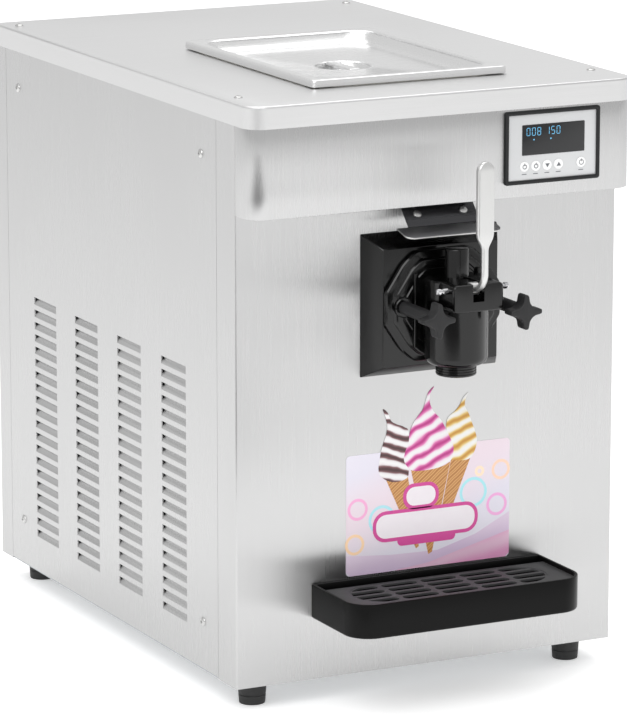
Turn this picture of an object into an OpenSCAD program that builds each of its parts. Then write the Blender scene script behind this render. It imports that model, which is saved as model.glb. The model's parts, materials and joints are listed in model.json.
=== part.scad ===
// Countertop soft serve machine with one dispensing head.
// Frame: X to the machine's right as seen from the front is +X, the front faces -Y, Z is up.
// The origin is on the standing surface, under the middle of the machine's overall box.

/* [Cabinet] */
// Width of the cabinet over its side panels
body_w = 400; // [360:1:480]
// Depth of the cabinet from the front panel to the rear panel
body_d = 562; // [550:1:680]
// Height from the cabinet's bottom edge to the top cover's lower edge
body_h = 532; // [525:1:640]
// Height of the top cover's flange
cover_h = 21; // [16:1:30]
// Thickness of the outer sheet
sheet_t = 1.2; // [0.8:0.1:2]
// Depth of the front panel's side returns
front_wrap = 39; // [30:1:60]
// Depth of the rear panel's side returns
rear_wrap = 28; // [20:1:40]
// Visible gap between neighbouring panels
panel_gap = 0.4; // [0.2:0.1:1]
// How far the side panels stop above the bottom edge
side_lift = 2; // [1:0.5:5]

/* [Hood] */
// How far the hood stands out from the front panel
hood_out = 34; // [26:1:50]
// Height of the hood below the top cover's flange
hood_drop = 83.5; // [76:0.5:110]
// Radius of the hood's and the cover's front corners
corner_r = 18; // [10:1:24]

/* [Canopy] */
// Half width of the canopy's slanted web
web_half = 38; // [30:1:46]
// Half width of the canopy's lip
lip_half = 50; // [46:1:60]
// Length of the lip
lip_len = 24; // [18:1:28]
// Distance of the bend between web and lip in front of the front panel
fold_out = 31; // [26:0.5:33]
// Drop of the bend below the hood
fold_drop = 18.5; // [14:0.5:20]
// Distance between the canopy's two screws
canopy_pitch = 48; // [30:1:56]

/* [Feet] */
// Visible height of a rubber foot
foot_h = 24; // [15:1:40]
// Radius of a foot at its top
foot_r = 14; // [10:0.5:18]
// Distance of a foot's centre from the side and from the front and rear
foot_inset = 31; // [24:1:50]

/* [Louvres] */
// Rows of louvres in a column
louvre_rows = 20; // [4:1:22]
// Columns of louvres on a side panel
louvre_cols = 4; // [1:1:4]
// Distance between rows
louvre_pitch = 12.7; // [10:0.1:16]
// Length of one louvre
louvre_len = 55; // [30:1:80]
// Height of one louvre
louvre_open = 7.5; // [5:0.5:9]
// How far a louvre is pressed inwards at its top
louvre_depth = 3.6; // [2:0.2:6]
// Height of the lowest louvre's bottom edge
louvre_z = 38; // [30:1:80]
// Distance of the first column from the front panel
louvre_y = 108; // [95:1:130]
// Distance between columns
louvre_step = 102; // [90:1:120]

/* [Dispensing head] */
// Height of the freezing cylinder's axis
head_z = 354; // [345:1:380]
// Width of the black surround at the front panel
surround_w = 144; // [132:1:180]
// Height of the black surround at the front panel
surround_h = 136; // [128:1:150]
// How far the surround stands out
surround_out = 23.6; // [18:0.5:35]
// How far the surround's sides slope in
surround_taper = 12; // [4:0.5:14]
// Radius of the head's round plate
plate_r = 60; // [56:1:64]
// Thickness of the head's round plate
plate_t = 11; // [8:0.5:16]
// Radius of the upright valve body
valve_r = 29.5; // [26:0.5:34]
// Distance of the valve's axis in front of the front panel
valve_out = 55; // [50:0.5:60]
// Radius of the plunger
plunger_r = 11.35; // [9:0.05:13]
// Clearance of running fits
fit = 0.05; // [0.02:0.01:0.09]
// Half width of the yoke block
yoke_half = 26; // [20:1:28]
// Width of the lever's slot in the yoke
slot_w = 11.6; // [9:0.1:14]
// Radius of the lever's pivot pin
pin_r = 3; // [2:0.1:4]
// Distance of the two studs and their knobs from the middle
knob_x = 45; // [42:0.5:50]
// Length of the threaded outlet's cap
nozzle_h = 13; // [10:0.5:16]
// Outer radius of the outlet's cap
nozzle_r = 19; // [17:0.5:22]

/* [Lever] */
// Angle that the lever swings forward when it is pulled
lever_deg = 30; // [10:1:30]
// Rise of the plunger in millimetres per radian of the lever
plunger_rate = 19.5; // [10:0.5:20]
// Thickness of the lever
lever_t = 7.6; // [5:0.2:9]
// Width of the lever's grip
grip_w = 17; // [12:0.5:24]
// Height of the lever's top above the cabinet's bottom edge
lever_top = 500; // [470:1:540]
// Distance of the lever's front face in front of the front panel
front_reach = 112; // [108:0.5:118]

/* [Freezing cylinder] */
// Inner radius of the cylinder
bore_r = 35.5; // [30:0.5:36]
// Wall of the cylinder
bore_wall = 2.5; // [2:0.1:3]
// Distance of the bulkhead's front face behind the front panel
bulkhead_y = 304; // [300:1:330]
// Radial thickness of the foam around the evaporator
foam_t = 15; // [8:1:20]

/* [Hopper] */
// Inner width of the hopper
hopper_w = 188; // [160:1:220]
// Inner length of the hopper
hopper_l = 264; // [230:1:280]
// Depth of the hopper below the top cover
hopper_depth = 118; // [100:1:124]
// Distance of the hopper's middle behind the front panel
hopper_y = 177; // [170:1:190]
// Inner corner radius of the hopper
hopper_r = 25; // [15:1:40]
// Overlap of the lid's rim over the hopper on each side
lid_lap = 8.5; // [7:0.5:14]
// Height of the lid's rim above the top cover
lid_h = 8; // [6:0.5:12]
// Depth of the lid's pressed floor below its rim
lid_sink = 12; // [9:0.5:20]
// Radius of the finger dish in the lid
dish_r = 27; // [20:1:34]

/* [Picture label] */
// Width of the label's card
label_w = 174; // [120:1:220]
// Place of the card's middle to the right of the machine's middle
label_x = 1; // [-10:1:10]
// Height of the card's lower edge
label_low = 95; // [94:1:110]
// Height of the card's upper edge
label_high = 211; // [180:1:220]

/* [Drip tray] */
// Width of the drip tray
tray_w = 244; // [220:1:300]
// Depth of the drip tray in front of the front panel
tray_d = 92; // [84:1:110]
// Height of the drip tray
tray_h = 33; // [26:1:45]
// Height of the drip tray's underside
tray_z = 59.6; // [50:0.1:62]
// Radius of the tray's front corners
tray_r = 25; // [10:1:35]
// Wall of the drip tray
tray_wall = 3; // [2:0.5:4]

/* [Control panel] */
// Width of the control panel's bezel
bezel_w = 101; // [96:1:120]
// Height of the control panel's bezel
bezel_h = 69; // [62:0.5:72]
// Distance of the control panel's middle from the machine's middle
bezel_x = 110.5; // [100:0.5:120]
// Distance from the cover's top down to the middle of the control panel
bezel_drop = 57.5; // [53:0.5:63]
// Radius of a button
button_r = 4.8; // [3.5:0.1:5]
// Travel of a button
button_travel = 0.8; // [0.3:0.1:1]

/* [Drive] */
// Radius of the large pulley
big_pulley_r = 70; // [60:1:72]
// Radius of the small pulley
small_pulley_r = 22; // [16:1:28]
// Sideways place of the drive motor's axis
motor_x = 35; // [0:1:40]
// Height of the drive motor's axis
motor_z = 110; // [90:1:130]
// Radius of the drive motor's housing
motor_r = 58; // [45:1:60]

/* [Hidden] */
$fn = 64;
eps = 0.01;
top_z = body_h + cover_h;            // top face of the top cover
deck_z = top_z - sheet_t;            // underside of the cover's sheet, where the panels end
half_w = body_w / 2;
inner_w = half_w - sheet_t;          // inner faces of the side panels
rear_inner = body_d - sheet_t;
gland_len = 14;
gland_x = 130;
gland_z = 42;
rear_reach = body_d + gland_len;
y_mid = (rear_reach - front_reach) / 2;
pan_t = 2;
post_t = 2;
post_leg = 85;
post_lip = 30;
screw_r = 2;
screw_gap = 0.2;
side_screw_z = [48, body_h - 37];
side_screw_y = [front_wrap + 33, body_d - rear_wrap - 31];
cover_gap = 0.2;
cover_screw_x = half_w - 15;
cover_screw_y = [23, body_d - 28];
stud_r = 4;
stud_gap = 0.3;
knob_z = head_z + 2;
knob_front = front_reach - 3.5;
shank_r = 6.2;
valve_top = head_z + 30;
valve_low = head_z - 51;
outlet_low = head_z - 61.5;
yoke_low = head_z + 5;
yoke_top = head_z + 31;
yoke_front = valve_out + 43;
pin_y = -(valve_out + 30);
pin_z = head_z + 24.4;
slot_low = pin_z - 10;
finger_len = 21;
finger_r = 4;
hub_r = 7.4;
plate_back = surround_out + 0.6;     // rear face of the head's round plate
plate_front = plate_back + plate_t;
barrel_r = bore_r + bore_wall;
barrel_front = surround_out - 2;
seal_gap = 0.2;
passage_z = head_z - bore_r + 7.2;
plunger_low = passage_z - 6;
plunger_lift = plunger_rate * lever_deg * PI / 180;
plunger_top = head_z + 67.7 - plunger_lift;
ring_w = 2.4;
ring_z = [plunger_low + 14, plunger_low + 44];
coil_r = 4;
coil_pitch = 8.5;
coil_turns = 26;
coil_y = 12;
beater_start = -plate_back + 2;
beater_end = bulkhead_y - 14;
neck_r = 12;
neck_wall = 2;
neck_y = hopper_y + hopper_l / 2 - 59;
hopper_low = top_z - hopper_depth - sheet_t;
tube_r = neck_r - fit;
tube_top = top_z - 35;
lid_w = hopper_w + 2 * lid_lap;
lid_l = hopper_l + 2 * lid_lap;
lid_top = top_z + lid_h;
lid_gap = 3.5;
pan_floor = lid_top - lid_sink;
dish_depth = 11;
ledge_w = 2.5;
grille_t = 2.6;
grille_gap = 0.4;
grille_back = 13;
tray_top = tray_z + tray_h;
grille_z = tray_top - 6.4;
tab_w = 30;
tab_x = 78;
tab_t = 3;
tab_len = 12;
tab_z = tray_z + 7;
tab_gap = 0.5;
bezel_frame = 5;
bezel_z = top_z - bezel_drop;
bezel_out = 3.5;
plate_out = 2;
opening_inset = 8;
button_z = bezel_z - 18;
button_step = 12.1;
button_x = bezel_x - 29.8;
power_x = bezel_x + 30.7;
button_xs = [for (k = [0 : 3]) button_x + k * button_step, power_x];
button_proud = button_travel + 0.2;
board_back = 27.4;
board_t = 1.6;
gearbox_y = bulkhead_y + 3;
gearbox_len = 65;
pulley_y = gearbox_y + gearbox_len + 12;
pulley_w = 18;
belt_t = 4;
belt_gap = 0.3;
motor_y = pulley_y + pulley_w + 10;
motor_len = min(128, rear_inner - 16 - motor_y);
comp_x = 72;
comp_y = 150;
comp_h = 190;
cond_y0 = 55;
cond_y1 = 290;
cond_z1 = 262;
cond_t = 38;
cond_x = -(half_w - 14);
fan_x = cond_x + cond_t + 6;
fan_motor_x = fan_x + 26;
fan_r = 82;
fan_y = 175;
fan_z = 150;
canopy_t = 1.5;
canopy_z = body_h - hood_drop;       // underside of the hood
web_top = [-13, canopy_z];
web_fold = [-fold_out, canopy_z - fold_drop];
web_len = norm(web_fold - web_top);
web_dir = (web_fold - web_top) / web_len;
web_back = [-web_dir[1], web_dir[0]];
lip_r = 9;
lip_tilt = 9.5;
hang_t = 1.2;
label_t = 0.3;
// Outlines of the three whipped peaks, from the middle of the card's upper edge.
label_peaks = [
    [[5.5, 58], [1.6, 52], [0.8, 43], [5, 34], [11.5, 27], [16.5, 19], [21, 10], [25, 2], [26.5, -6],
        [23, -16], [-19, -18], [-26, -11], [-25, -2], [-21.5, 6], [-20.5, 15], [-17, 24],
        [-11.5, 31], [-6.5, 37], [-3.6, 45], [-0.4, 53]],
    [[-48.5, 41.5], [-43.5, 37.5], [-40, 29.5], [-34, 25.5], [-26, 22], [-21, 15], [-21, -11],
        [-49, -11], [-51.5, -4], [-50, 3], [-47.5, 10], [-45, 17], [-44, 25], [-45.8, 33]],
    [[42, 48.5], [38.8, 42], [38.6, 35], [42.5, 28], [46, 19], [49.5, 10], [51.5, 1], [49, -9],
        [43, -15], [27, -13], [21, 1], [19.5, 11], [18.5, 20], [21, 27], [28, 32], [33, 37.5],
        [36.5, 44]]];

// ---------- helpers ----------

// Moves the machine from its own front-panel frame to the row's frame.
module place() translate([0, -y_mid, foot_h]) children();

module rod_x(r, x0, x1) translate([x0, 0, 0]) rotate([0, 90, 0]) cylinder(r = r, h = x1 - x0);
module rod_y(r, y0, y1) translate([0, y1, 0]) rotate([90, 0, 0]) cylinder(r = r, h = y1 - y0);
module rod_z(r, z0, z1) translate([0, 0, z0]) cylinder(r = r, h = z1 - z0);

// Extrudes a shape drawn in X and Z along Y.
module along_y(y0, y1) translate([0, y1, 0]) rotate([90, 0, 0]) linear_extrude(y1 - y0) children();
// Extrudes a shape drawn in Y and Z along X.
module along_x(x0, x1) translate([x0, 0, 0]) rotate([90, 0, 90]) linear_extrude(x1 - x0) children();
// Extrudes a shape drawn in X and Y along Z.
module along_z(z0, z1) translate([0, 0, z0]) linear_extrude(z1 - z0) children();

module block(x0, x1, y0, y1, z0, z1) translate([x0, y0, z0]) cube([x1 - x0, y1 - y0, z1 - z0]);

module mirrored_x() {
    children();
    mirror([1, 0, 0]) children();
}

// Rounded rectangle around the origin, with true arcs.
module rounded(w, l, r) {
    square([w - 2 * r, l], center = true);
    square([w, l - 2 * r], center = true);
    for (sx = [-1, 1], sy = [-1, 1])
        translate([sx * (w / 2 - r), sy * (l / 2 - r)]) circle(r);
}

// Plan of cabinet and hood together, grown by g, with rounded front corners.
module plan_outline(g) {
    w = half_w + g;
    front = -hood_out - g;
    rear = body_d + g;
    r = corner_r + g;
    translate([-w, front + r]) square([2 * w, rear - front - r]);
    translate([-w + r, front]) square([2 * (w - r), r + eps]);
    for (s = [-1, 1]) translate([s * (w - r), front + r]) circle(r);
}

// ---------- cabinet ----------

module base_pan() {
    flange_h = 20;
    flange_t = 1.5;
    color("silver") difference() {
        union() {
            block(-inner_w, inner_w, sheet_t, rear_inner, 0, pan_t);
            mirrored_x() block(inner_w - flange_t, inner_w, post_leg + 12, body_d - post_leg - 12,
                pan_t - eps, pan_t + flange_h);
        }
        for (sx = [-1, 1], y = [foot_inset, body_d - foot_inset])
            translate([sx * (half_w - foot_inset), y, 0]) rod_z(4.2, -1, pan_t + 1);
    }
}

module feet() {
    stud = 4;
    nut_r = 7;
    color([0.1, 0.1, 0.1]) for (sx = [-1, 1], y = [foot_inset, body_d - foot_inset])
        translate([sx * (half_w - foot_inset), y, 0]) {
            translate([0, 0, -foot_h]) cylinder(r1 = foot_r - 1.8, r2 = foot_r, h = foot_h - 4);
            rod_z(foot_r, -4 - eps, 0);
            rod_z(stud, -eps, 14);
            translate([0, 0, pan_t]) cylinder(r = nut_r, h = 6, $fn = 6);
        }
}

// One corner angle: a long leg behind the side panel, a lip behind the front or rear panel
// and a tab under the top cover.
module corner_post() {
    y0 = sheet_t + 3;
    difference() {
        union() {
            block(inner_w - post_t, inner_w, y0, y0 + post_leg, pan_t, deck_z);
            block(inner_w - post_lip, inner_w, y0, y0 + post_t, pan_t, deck_z);
            block(inner_w - post_lip, inner_w, y0, y0 + 34, deck_z - post_t, deck_z);
        }
        children();
    }
}

module corner_posts() {
    side_r = screw_r + screw_gap;
    color("silver") mirrored_x() {
        corner_post() {
            for (z = side_screw_z) translate([0, side_screw_y[0], z])
                rod_x(side_r, inner_w - 5, inner_w + 1);
            translate([cover_screw_x, cover_screw_y[0], 0]) rod_z(side_r, deck_z - 5, deck_z + 1);
        }
        translate([0, body_d, 0]) mirror([0, 1, 0]) corner_post() {
            for (z = side_screw_z) translate([0, body_d - side_screw_y[1], z])
                rod_x(side_r, inner_w - 5, inner_w + 1);
            translate([cover_screw_x, body_d - cover_screw_y[1], 0])
                rod_z(side_r, deck_z - 5, deck_z + 1);
        }
    }
}

module bulkhead() {
    thick = gearbox_y - bulkhead_y;
    w = inner_w - post_t - 1;
    color("silver") difference() {
        union() {
            block(-w, w, bulkhead_y, gearbox_y, pan_t, hopper_low);
            block(-w, w, gearbox_y - eps, gearbox_y + 24, pan_t, pan_t + thick);
        }
        translate([0, 0, head_z]) rod_y(14, bulkhead_y - 1, gearbox_y + 1);
        for (s = [-1, 1]) translate([s * 120, 0, 60]) rod_y(18, bulkhead_y - 1, gearbox_y + 1);
    }
}

module front_panel() {
    tab_cut = tab_w + 2 * tab_gap;
    color([0.86, 0.86, 0.86]) difference() {
        union() {
            block(-half_w, half_w, 0, sheet_t, 0, deck_z);
            mirrored_x() block(inner_w, half_w, 0, front_wrap, 0, deck_z);
        }
        translate([0, 0, head_z]) rod_y(barrel_r + 1, -1, sheet_t + 1);
        for (s = [-1, 1]) {
            translate([s * knob_x, 0, knob_z]) rod_y(stud_r + stud_gap, -1, sheet_t + 1);
            translate([s * tab_x - tab_cut / 2, -1, tab_z - tab_gap])
                cube([tab_cut, sheet_t + 2, tab_t + 2 * tab_gap]);
        }
        block(bezel_x - 20, bezel_x + 20, -1, sheet_t + 1, bezel_z - 12, bezel_z + 12);
    }
}

// Side panel in its own plane: the louvre windows are cut and their ramps pressed inwards.
module side_panel() {
    y0 = front_wrap + panel_gap;
    y1 = body_d - rear_wrap - panel_gap;
    ramp_t = 1;
    grip = 0.8;
    difference() {
        union() {
            along_x(inner_w, half_w) difference() {
                translate([y0, side_lift]) square([y1 - y0, deck_z - side_lift]);
                for (c = [0 : louvre_cols - 1], k = [0 : louvre_rows - 1])
                    translate([louvre_y + c * louvre_step, louvre_z + k * louvre_pitch])
                        square([louvre_len, louvre_open]);
            }
            for (c = [0 : louvre_cols - 1], k = [0 : louvre_rows - 1])
                translate([0, louvre_y + c * louvre_step, louvre_z + k * louvre_pitch])
                    translate([half_w, louvre_len, 0]) rotate([90, 0, 0]) linear_extrude(louvre_len)
                        polygon([[0, -grip], [0, 0], [-louvre_depth, louvre_open - 0.6],
                            [-louvre_depth - ramp_t, louvre_open - 0.6], [-ramp_t, -grip]]);
        }
        for (y = side_screw_y, z = side_screw_z)
            translate([0, y, z]) rod_x(screw_r + screw_gap, inner_w - 1, half_w + 1);
    }
}

module right_panel() color([0.84, 0.84, 0.84]) side_panel();
module left_panel() color([0.84, 0.84, 0.84]) mirror([1, 0, 0]) side_panel();

module rear_panel() {
    vent_w = 70;
    vent_h = 4;
    vent_pitch = 11;
    vent_rows = 14;
    color([0.84, 0.84, 0.84]) difference() {
        union() {
            block(-half_w, half_w, rear_inner, body_d, 0, deck_z);
            mirrored_x() block(inner_w, half_w, body_d - rear_wrap, body_d, 0, deck_z);
        }
        for (s = [-1, 1], k = [0 : vent_rows - 1])
            translate([s * 75, 0, 90 + k * vent_pitch]) along_y(rear_inner - 1, body_d + 1)
                rounded(vent_w, vent_h, vent_h / 2 - eps);
        translate([gland_x, 0, gland_z]) rod_y(8.2, rear_inner - 1, body_d + 1);
    }
}

module top_cover() {
    color([0.9, 0.9, 0.9]) difference() {
        along_z(body_h, top_z) plan_outline(cover_gap + sheet_t);
        along_z(body_h - 1, deck_z) plan_outline(cover_gap);
        translate([0, hopper_y, 0]) along_z(deck_z - 1, top_z + 1)
            rounded(hopper_w, hopper_l, hopper_r);
        for (sx = [-1, 1], y = cover_screw_y) translate([sx * cover_screw_x, y, 0]) {
            rod_z(screw_r + screw_gap, deck_z - 1, top_z + 1);
            rod_z(4.4, top_z - 0.7, top_z + 1);
        }
    }
}

// Places a child on the web's outer face, s along it from the top, with local Z facing out.
module on_web(s) {
    at = web_top + web_dir * s;
    translate([0, at[0], at[1]]) rotate([atan2(-web_dir[1], -web_dir[0]), 0, 0]) children();
}

module canopy_holes() {
    for (s = [-1, 1]) on_web(web_len / 2) translate([s * canopy_pitch / 2, 0, 0])
        rod_z(screw_r + screw_gap, -canopy_t - hang_t - 2, 2);
}

module hood() {
    z0 = canopy_z;
    hang_top = web_top + web_back * canopy_t - web_dir * (web_back[1] * canopy_t / web_dir[1]);
    hang_low = web_top + web_back * canopy_t + web_dir * (web_len - 5);
    color([0.82, 0.82, 0.82]) difference() {
        union() {
            intersection() {
                difference() {
                    along_z(z0, deck_z) plan_outline(0);
                    along_z(z0 + sheet_t, deck_z + 1) plan_outline(-sheet_t);
                }
                block(-half_w - 1, half_w + 1, -hood_out - 1, 0, z0 - 1, deck_z + 1);
            }
            along_x(-web_half + 4, web_half - 4)
                polygon([hang_top, hang_low, hang_low + web_back * hang_t,
                    hang_top + [hang_t / web_dir[1] * -1, 0], hang_top + [hang_t, 0.5],
                    hang_top + [0, 0.5]]);
        }
        block(bezel_x - bezel_w / 2 + opening_inset, bezel_x + bezel_w / 2 - opening_inset,
            -hood_out - 1, -hood_out + sheet_t + 1,
            bezel_z - bezel_h / 2 + opening_inset, bezel_z + bezel_h / 2 - opening_inset);
        canopy_holes();
    }
}

module side_screws() {
    head_h = 2.2;
    color("silver") mirrored_x() for (y = side_screw_y, z = side_screw_z) translate([0, y, z])
        difference() {
            union() {
                rod_x(screw_r, inner_w - 8, half_w + eps);
                translate([half_w, 0, 0]) rotate([0, 90, 0])
                    cylinder(r1 = 4.5, r2 = 2.4, h = head_h);
            }
            for (a = [0, 90]) translate([half_w + head_h, 0, 0]) rotate([a, 0, 0])
                cube([2.4, 3.6, 0.8], center = true);
        }
}

module cover_screws() {
    color("silver") for (sx = [-1, 1], y = cover_screw_y)
        translate([sx * cover_screw_x, y, 0]) difference() {
            union() {
                rod_z(screw_r, deck_z - 12, top_z - 0.5);
                rod_z(4.2, top_z - 0.7, top_z);
            }
            for (a = [0, 90]) translate([0, 0, top_z]) rotate([0, 0, a])
                cube([5, 1, 0.8], center = true);
        }
}

// Bent splash plate that hangs under the hood above the dispensing head.
module canopy() {
    color([0.15, 0.15, 0.16]) difference() {
        union() {
            along_x(-web_half, web_half)
                polygon([web_top, web_fold, web_fold + web_back * canopy_t,
                    web_top + web_back * canopy_t]);
            translate([0, web_fold[0] + 0.6, web_fold[1] + 0.1]) rotate([lip_tilt, 0, 0])
                along_z(-canopy_t, 0) canopy_lip();
        }
        canopy_holes();
    }
}

module canopy_lip() {
    end_r = 3;
    translate([-lip_half, -lip_len + lip_r]) square([2 * lip_half, lip_len - lip_r - end_r]);
    translate([-lip_half + end_r, -end_r - eps]) square([2 * (lip_half - end_r), end_r + eps]);
    translate([-lip_half + lip_r, -lip_len]) square([2 * (lip_half - lip_r), lip_r + 1]);
    for (s = [-1, 1]) {
        translate([s * (lip_half - lip_r), -lip_len + lip_r]) circle(lip_r);
        translate([s * (lip_half - end_r), -end_r]) circle(end_r);
    }
}

module canopy_screws() {
    head_r = 4.2;
    head_h = 2.4;
    nut_h = 3;
    color("silver") for (s = [-1, 1]) on_web(web_len / 2)
        translate([s * canopy_pitch / 2, 0, 0]) {
            rod_z(screw_r, -canopy_t - hang_t - nut_h - 1, eps);
            cylinder(r1 = head_r, r2 = head_r - 1.6, h = head_h);
            translate([0, 0, -canopy_t - hang_t - nut_h]) cylinder(r = 3.8, h = nut_h, $fn = 6);
        }
}

// Closed smooth curve through the points p, with n steps between neighbours.
function curve(p, n = 4) = [for (k = [0 : len(p) - 1], j = [0 : n - 1])
    let (m = len(p), a = p[(k + m - 1) % m], b = p[k], c = p[(k + 1) % m], d = p[(k + 2) % m],
        t = j / n)
    0.5 * (2 * b + (c - a) * t + (2 * a - 5 * b + 4 * c - d) * t * t
        + (3 * b - a - 3 * c + d) * t * t * t)];

// Flat picture label: a rounded card with three whipped peaks that rise over its top edge.
module picture_label() {
    color([0.95, 0.82, 0.9]) along_y(-label_t, 0) {
        translate([label_x, (label_low + label_high) / 2])
            rounded(label_w, label_high - label_low, 4);
        for (peak = label_peaks) translate([label_x, label_high]) polygon(curve(peak));
    }
}

// ---------- control panel ----------

module at_panel() translate([bezel_x, 0, bezel_z]) children();

module control_bezel() {
    color([0.1, 0.1, 0.1]) at_panel() difference() {
        along_y(-hood_out - bezel_out, -hood_out) rounded(bezel_w, bezel_h, 4);
        along_y(-hood_out - bezel_out - 1, -hood_out + 1)
            rounded(bezel_w - 2 * bezel_frame, bezel_h - 2 * bezel_frame, 2);
    }
}

module control_faceplate() {
    gap = 0.2;
    color([0.8, 0.8, 0.81]) difference() {
        at_panel() along_y(-hood_out - plate_out, -hood_out)
            rounded(bezel_w - 2 * (bezel_frame + gap), bezel_h - 2 * (bezel_frame + gap), 2 - gap);
        for (x = button_xs) translate([x, 0, button_z])
            rod_y(button_r + 0.2, -hood_out - plate_out - 1, -hood_out + 1);
    }
}

module display_window() {
    w = 66.4;
    h = 28.6;
    color([0.12, 0.13, 0.15]) translate([bezel_x + 0.9, 0, bezel_z + 6.8])
        along_y(-hood_out - plate_out - 0.5, -hood_out - plate_out) square([w, h], center = true);
}

module button(x) {
    flange_t = 1.2;
    color("white") translate([x, 0, button_z]) {
        rod_y(button_r, -hood_out - plate_out - button_proud, -hood_out + 0.5);
        rod_y(button_r + 0.8, -hood_out + fit, -hood_out + fit + flange_t);
    }
}

module button_mix() button(button_xs[0]);
module button_wash() button(button_xs[1]);
module button_down() button(button_xs[2]);
module button_up() button(button_xs[3]);
module button_power() button(button_xs[4]);

module control_board() {
    post = 2.2;
    inset = opening_inset / 2 - 0.5;
    px = bezel_w / 2 - inset - 0.5;
    pz = bezel_h / 2 - inset - 0.5;
    color("darkgreen") at_panel() {
        along_y(-board_back - board_t, -board_back) square([2 * px + 5, 2 * pz + 3], center = true);
        for (sx = [-1, 1], sz = [-1, 1]) translate([sx * px, 0, sz * pz])
            rod_y(post, -hood_out + sheet_t, -board_back - board_t + eps);
    }
}

// ---------- dispensing head ----------

module stud_holes(y0, y1) {
    for (s = [-1, 1]) translate([s * knob_x, 0, knob_z]) rod_y(stud_r + stud_gap, y0, y1);
}

module head_surround() {
    w = surround_w / 2;
    h = surround_h / 2;
    c = surround_taper;
    color([0.16, 0.16, 0.16]) translate([0, 0, head_z - 1]) difference() {
        intersection() {
            along_z(-h - 1, h + 1) polygon([[-w, 0], [w, 0], [w - c, -surround_out],
                [-w + c, -surround_out]]);
            along_x(-w - 1, w + 1) polygon([[0, -h], [0, h], [-surround_out, h - c],
                [-surround_out, -h + c]]);
        }
        translate([0, 0, 1]) rod_y(barrel_r + seal_gap + 0.6, -surround_out - 1, 1);
        translate([0, 0, 1 - head_z]) stud_holes(-surround_out - 1, 1);
    }
}

module dispensing_head() {
    step_r = plate_r - 9;
    step_t = plate_t * 0.55;
    round_r = 8;
    color([0.08, 0.08, 0.08]) difference() {
        union() {
            translate([0, 0, head_z]) {
                rod_y(plate_r, -plate_back - step_t, -plate_back);
                rod_y(step_r, -plate_front, -plate_back);
                rod_y(bore_r - seal_gap, -plate_back - eps, -plate_back + 14);
            }
            translate([0, -valve_out, 0]) rotate_extrude() {
                translate([0, valve_low + round_r])
                    square([valve_r, valve_top - valve_low - round_r]);
                translate([0, valve_low]) square([valve_r - round_r, round_r + eps]);
                intersection() {
                    translate([valve_r - round_r, valve_low + round_r]) circle(round_r);
                    translate([0, valve_low]) square([valve_r, round_r]);
                }
                translate([0, outlet_low + 3]) square([15, valve_low - outlet_low - 2]);
            }
            block(-yoke_half, yoke_half, -yoke_front, -valve_out, yoke_low, yoke_top);
        }
        translate([0, -valve_out, 0]) rod_z(plunger_r + fit, outlet_low - 1, yoke_top + 1);
        block(-slot_w / 2, slot_w / 2, -yoke_front - 1, -valve_out - plunger_r * 0.6,
            slot_low, yoke_top + 1);
        translate([0, pin_y, pin_z]) rod_x(pin_r + fit, -yoke_half - 1, yoke_half + 1);
        translate([0, 0, passage_z]) rod_y(5, -valve_out, -plate_back + 15);
        translate([0, 0, head_z]) rod_y(6 + fit, -plate_back - 3, -plate_back + 15);
        stud_holes(-plate_front - 1, -plate_back + 1);
    }
}

module head_gasket() {
    color([0.75, 0.3, 0.2]) translate([0, 0, head_z]) difference() {
        rod_y(barrel_r, -plate_back, -barrel_front);
        rod_y(bore_r, -plate_back - 1, -barrel_front + 1);
    }
}

module plunger() {
    window = finger_r + 1.3;
    color([0.12, 0.12, 0.12]) translate([0, -valve_out, 0]) difference() {
        rod_z(plunger_r, plunger_low, plunger_top);
        for (z = ring_z) translate([0, 0, z]) difference() {
            rod_z(plunger_r + 1, 0, ring_w + 0.2);
            rod_z(plunger_r - ring_w, -1, ring_w + 1);
        }
        block(-slot_w / 2, slot_w / 2, -plunger_r - 1, -3, pin_z - window, pin_z + window);
    }
}

module plunger_rings() {
    color([0.6, 0.15, 0.1]) translate([0, -valve_out, 0]) for (z = ring_z)
        translate([0, 0, z + 0.1]) difference() {
            rod_z(plunger_r, 0, ring_w);
            rod_z(plunger_r - ring_w, -1, ring_w + 1);
        }
}

module lever() {
    stem_half = 4.8;
    hub_half = slot_w / 2 - 0.5;
    back = -front_reach + lever_t;
    neck_z = head_z + 67;
    color([0.92, 0.92, 0.92]) difference() {
        union() {
            along_x(-hub_half, hub_half) {
                translate([pin_y, pin_z]) circle(hub_r);
                translate([pin_y, pin_z - 3.2]) square([finger_len, 6.4]);
                translate([pin_y + finger_len, pin_z]) circle(finger_r);
            }
            along_x(-stem_half, stem_half) {
                polygon([[pin_y - 2.4, pin_z - 6.6], [-front_reach + 2.2, pin_z + 4.4],
                    [back, pin_z + 16], [pin_y - 5.6, pin_z + 4.6]]);
                translate([-front_reach + lever_t / 2, pin_z + 8]) circle(lever_t / 2);
            }
            along_y(-front_reach, back) {
                translate([-stem_half, pin_z + 8]) square([2 * stem_half, neck_z - pin_z]);
                polygon([[-stem_half, neck_z], [stem_half, neck_z], [grip_w / 2, neck_z + 10],
                    [-grip_w / 2, neck_z + 10]]);
                translate([-grip_w / 2, neck_z + 10 - eps])
                    square([grip_w, lever_top - neck_z - 10 - grip_w / 2]);
                translate([0, lever_top - grip_w / 2]) circle(grip_w / 2);
            }
        }
        translate([0, pin_y, pin_z]) rod_x(pin_r + fit, -hub_half - 1, hub_half + 1);
    }
}

module pivot_pin() {
    overhang = 11.5;
    groove = 1.2;
    end = yoke_half + overhang;
    color("silver") translate([0, pin_y, pin_z]) difference() {
        rod_x(pin_r, -end, end);
        for (s = [-1, 1]) translate([s * (end - 5), 0, 0]) difference() {
            rod_x(pin_r + 1, -groove / 2, groove / 2);
            rod_x(pin_r - 0.8, -groove, groove);
        }
    }
}

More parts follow.
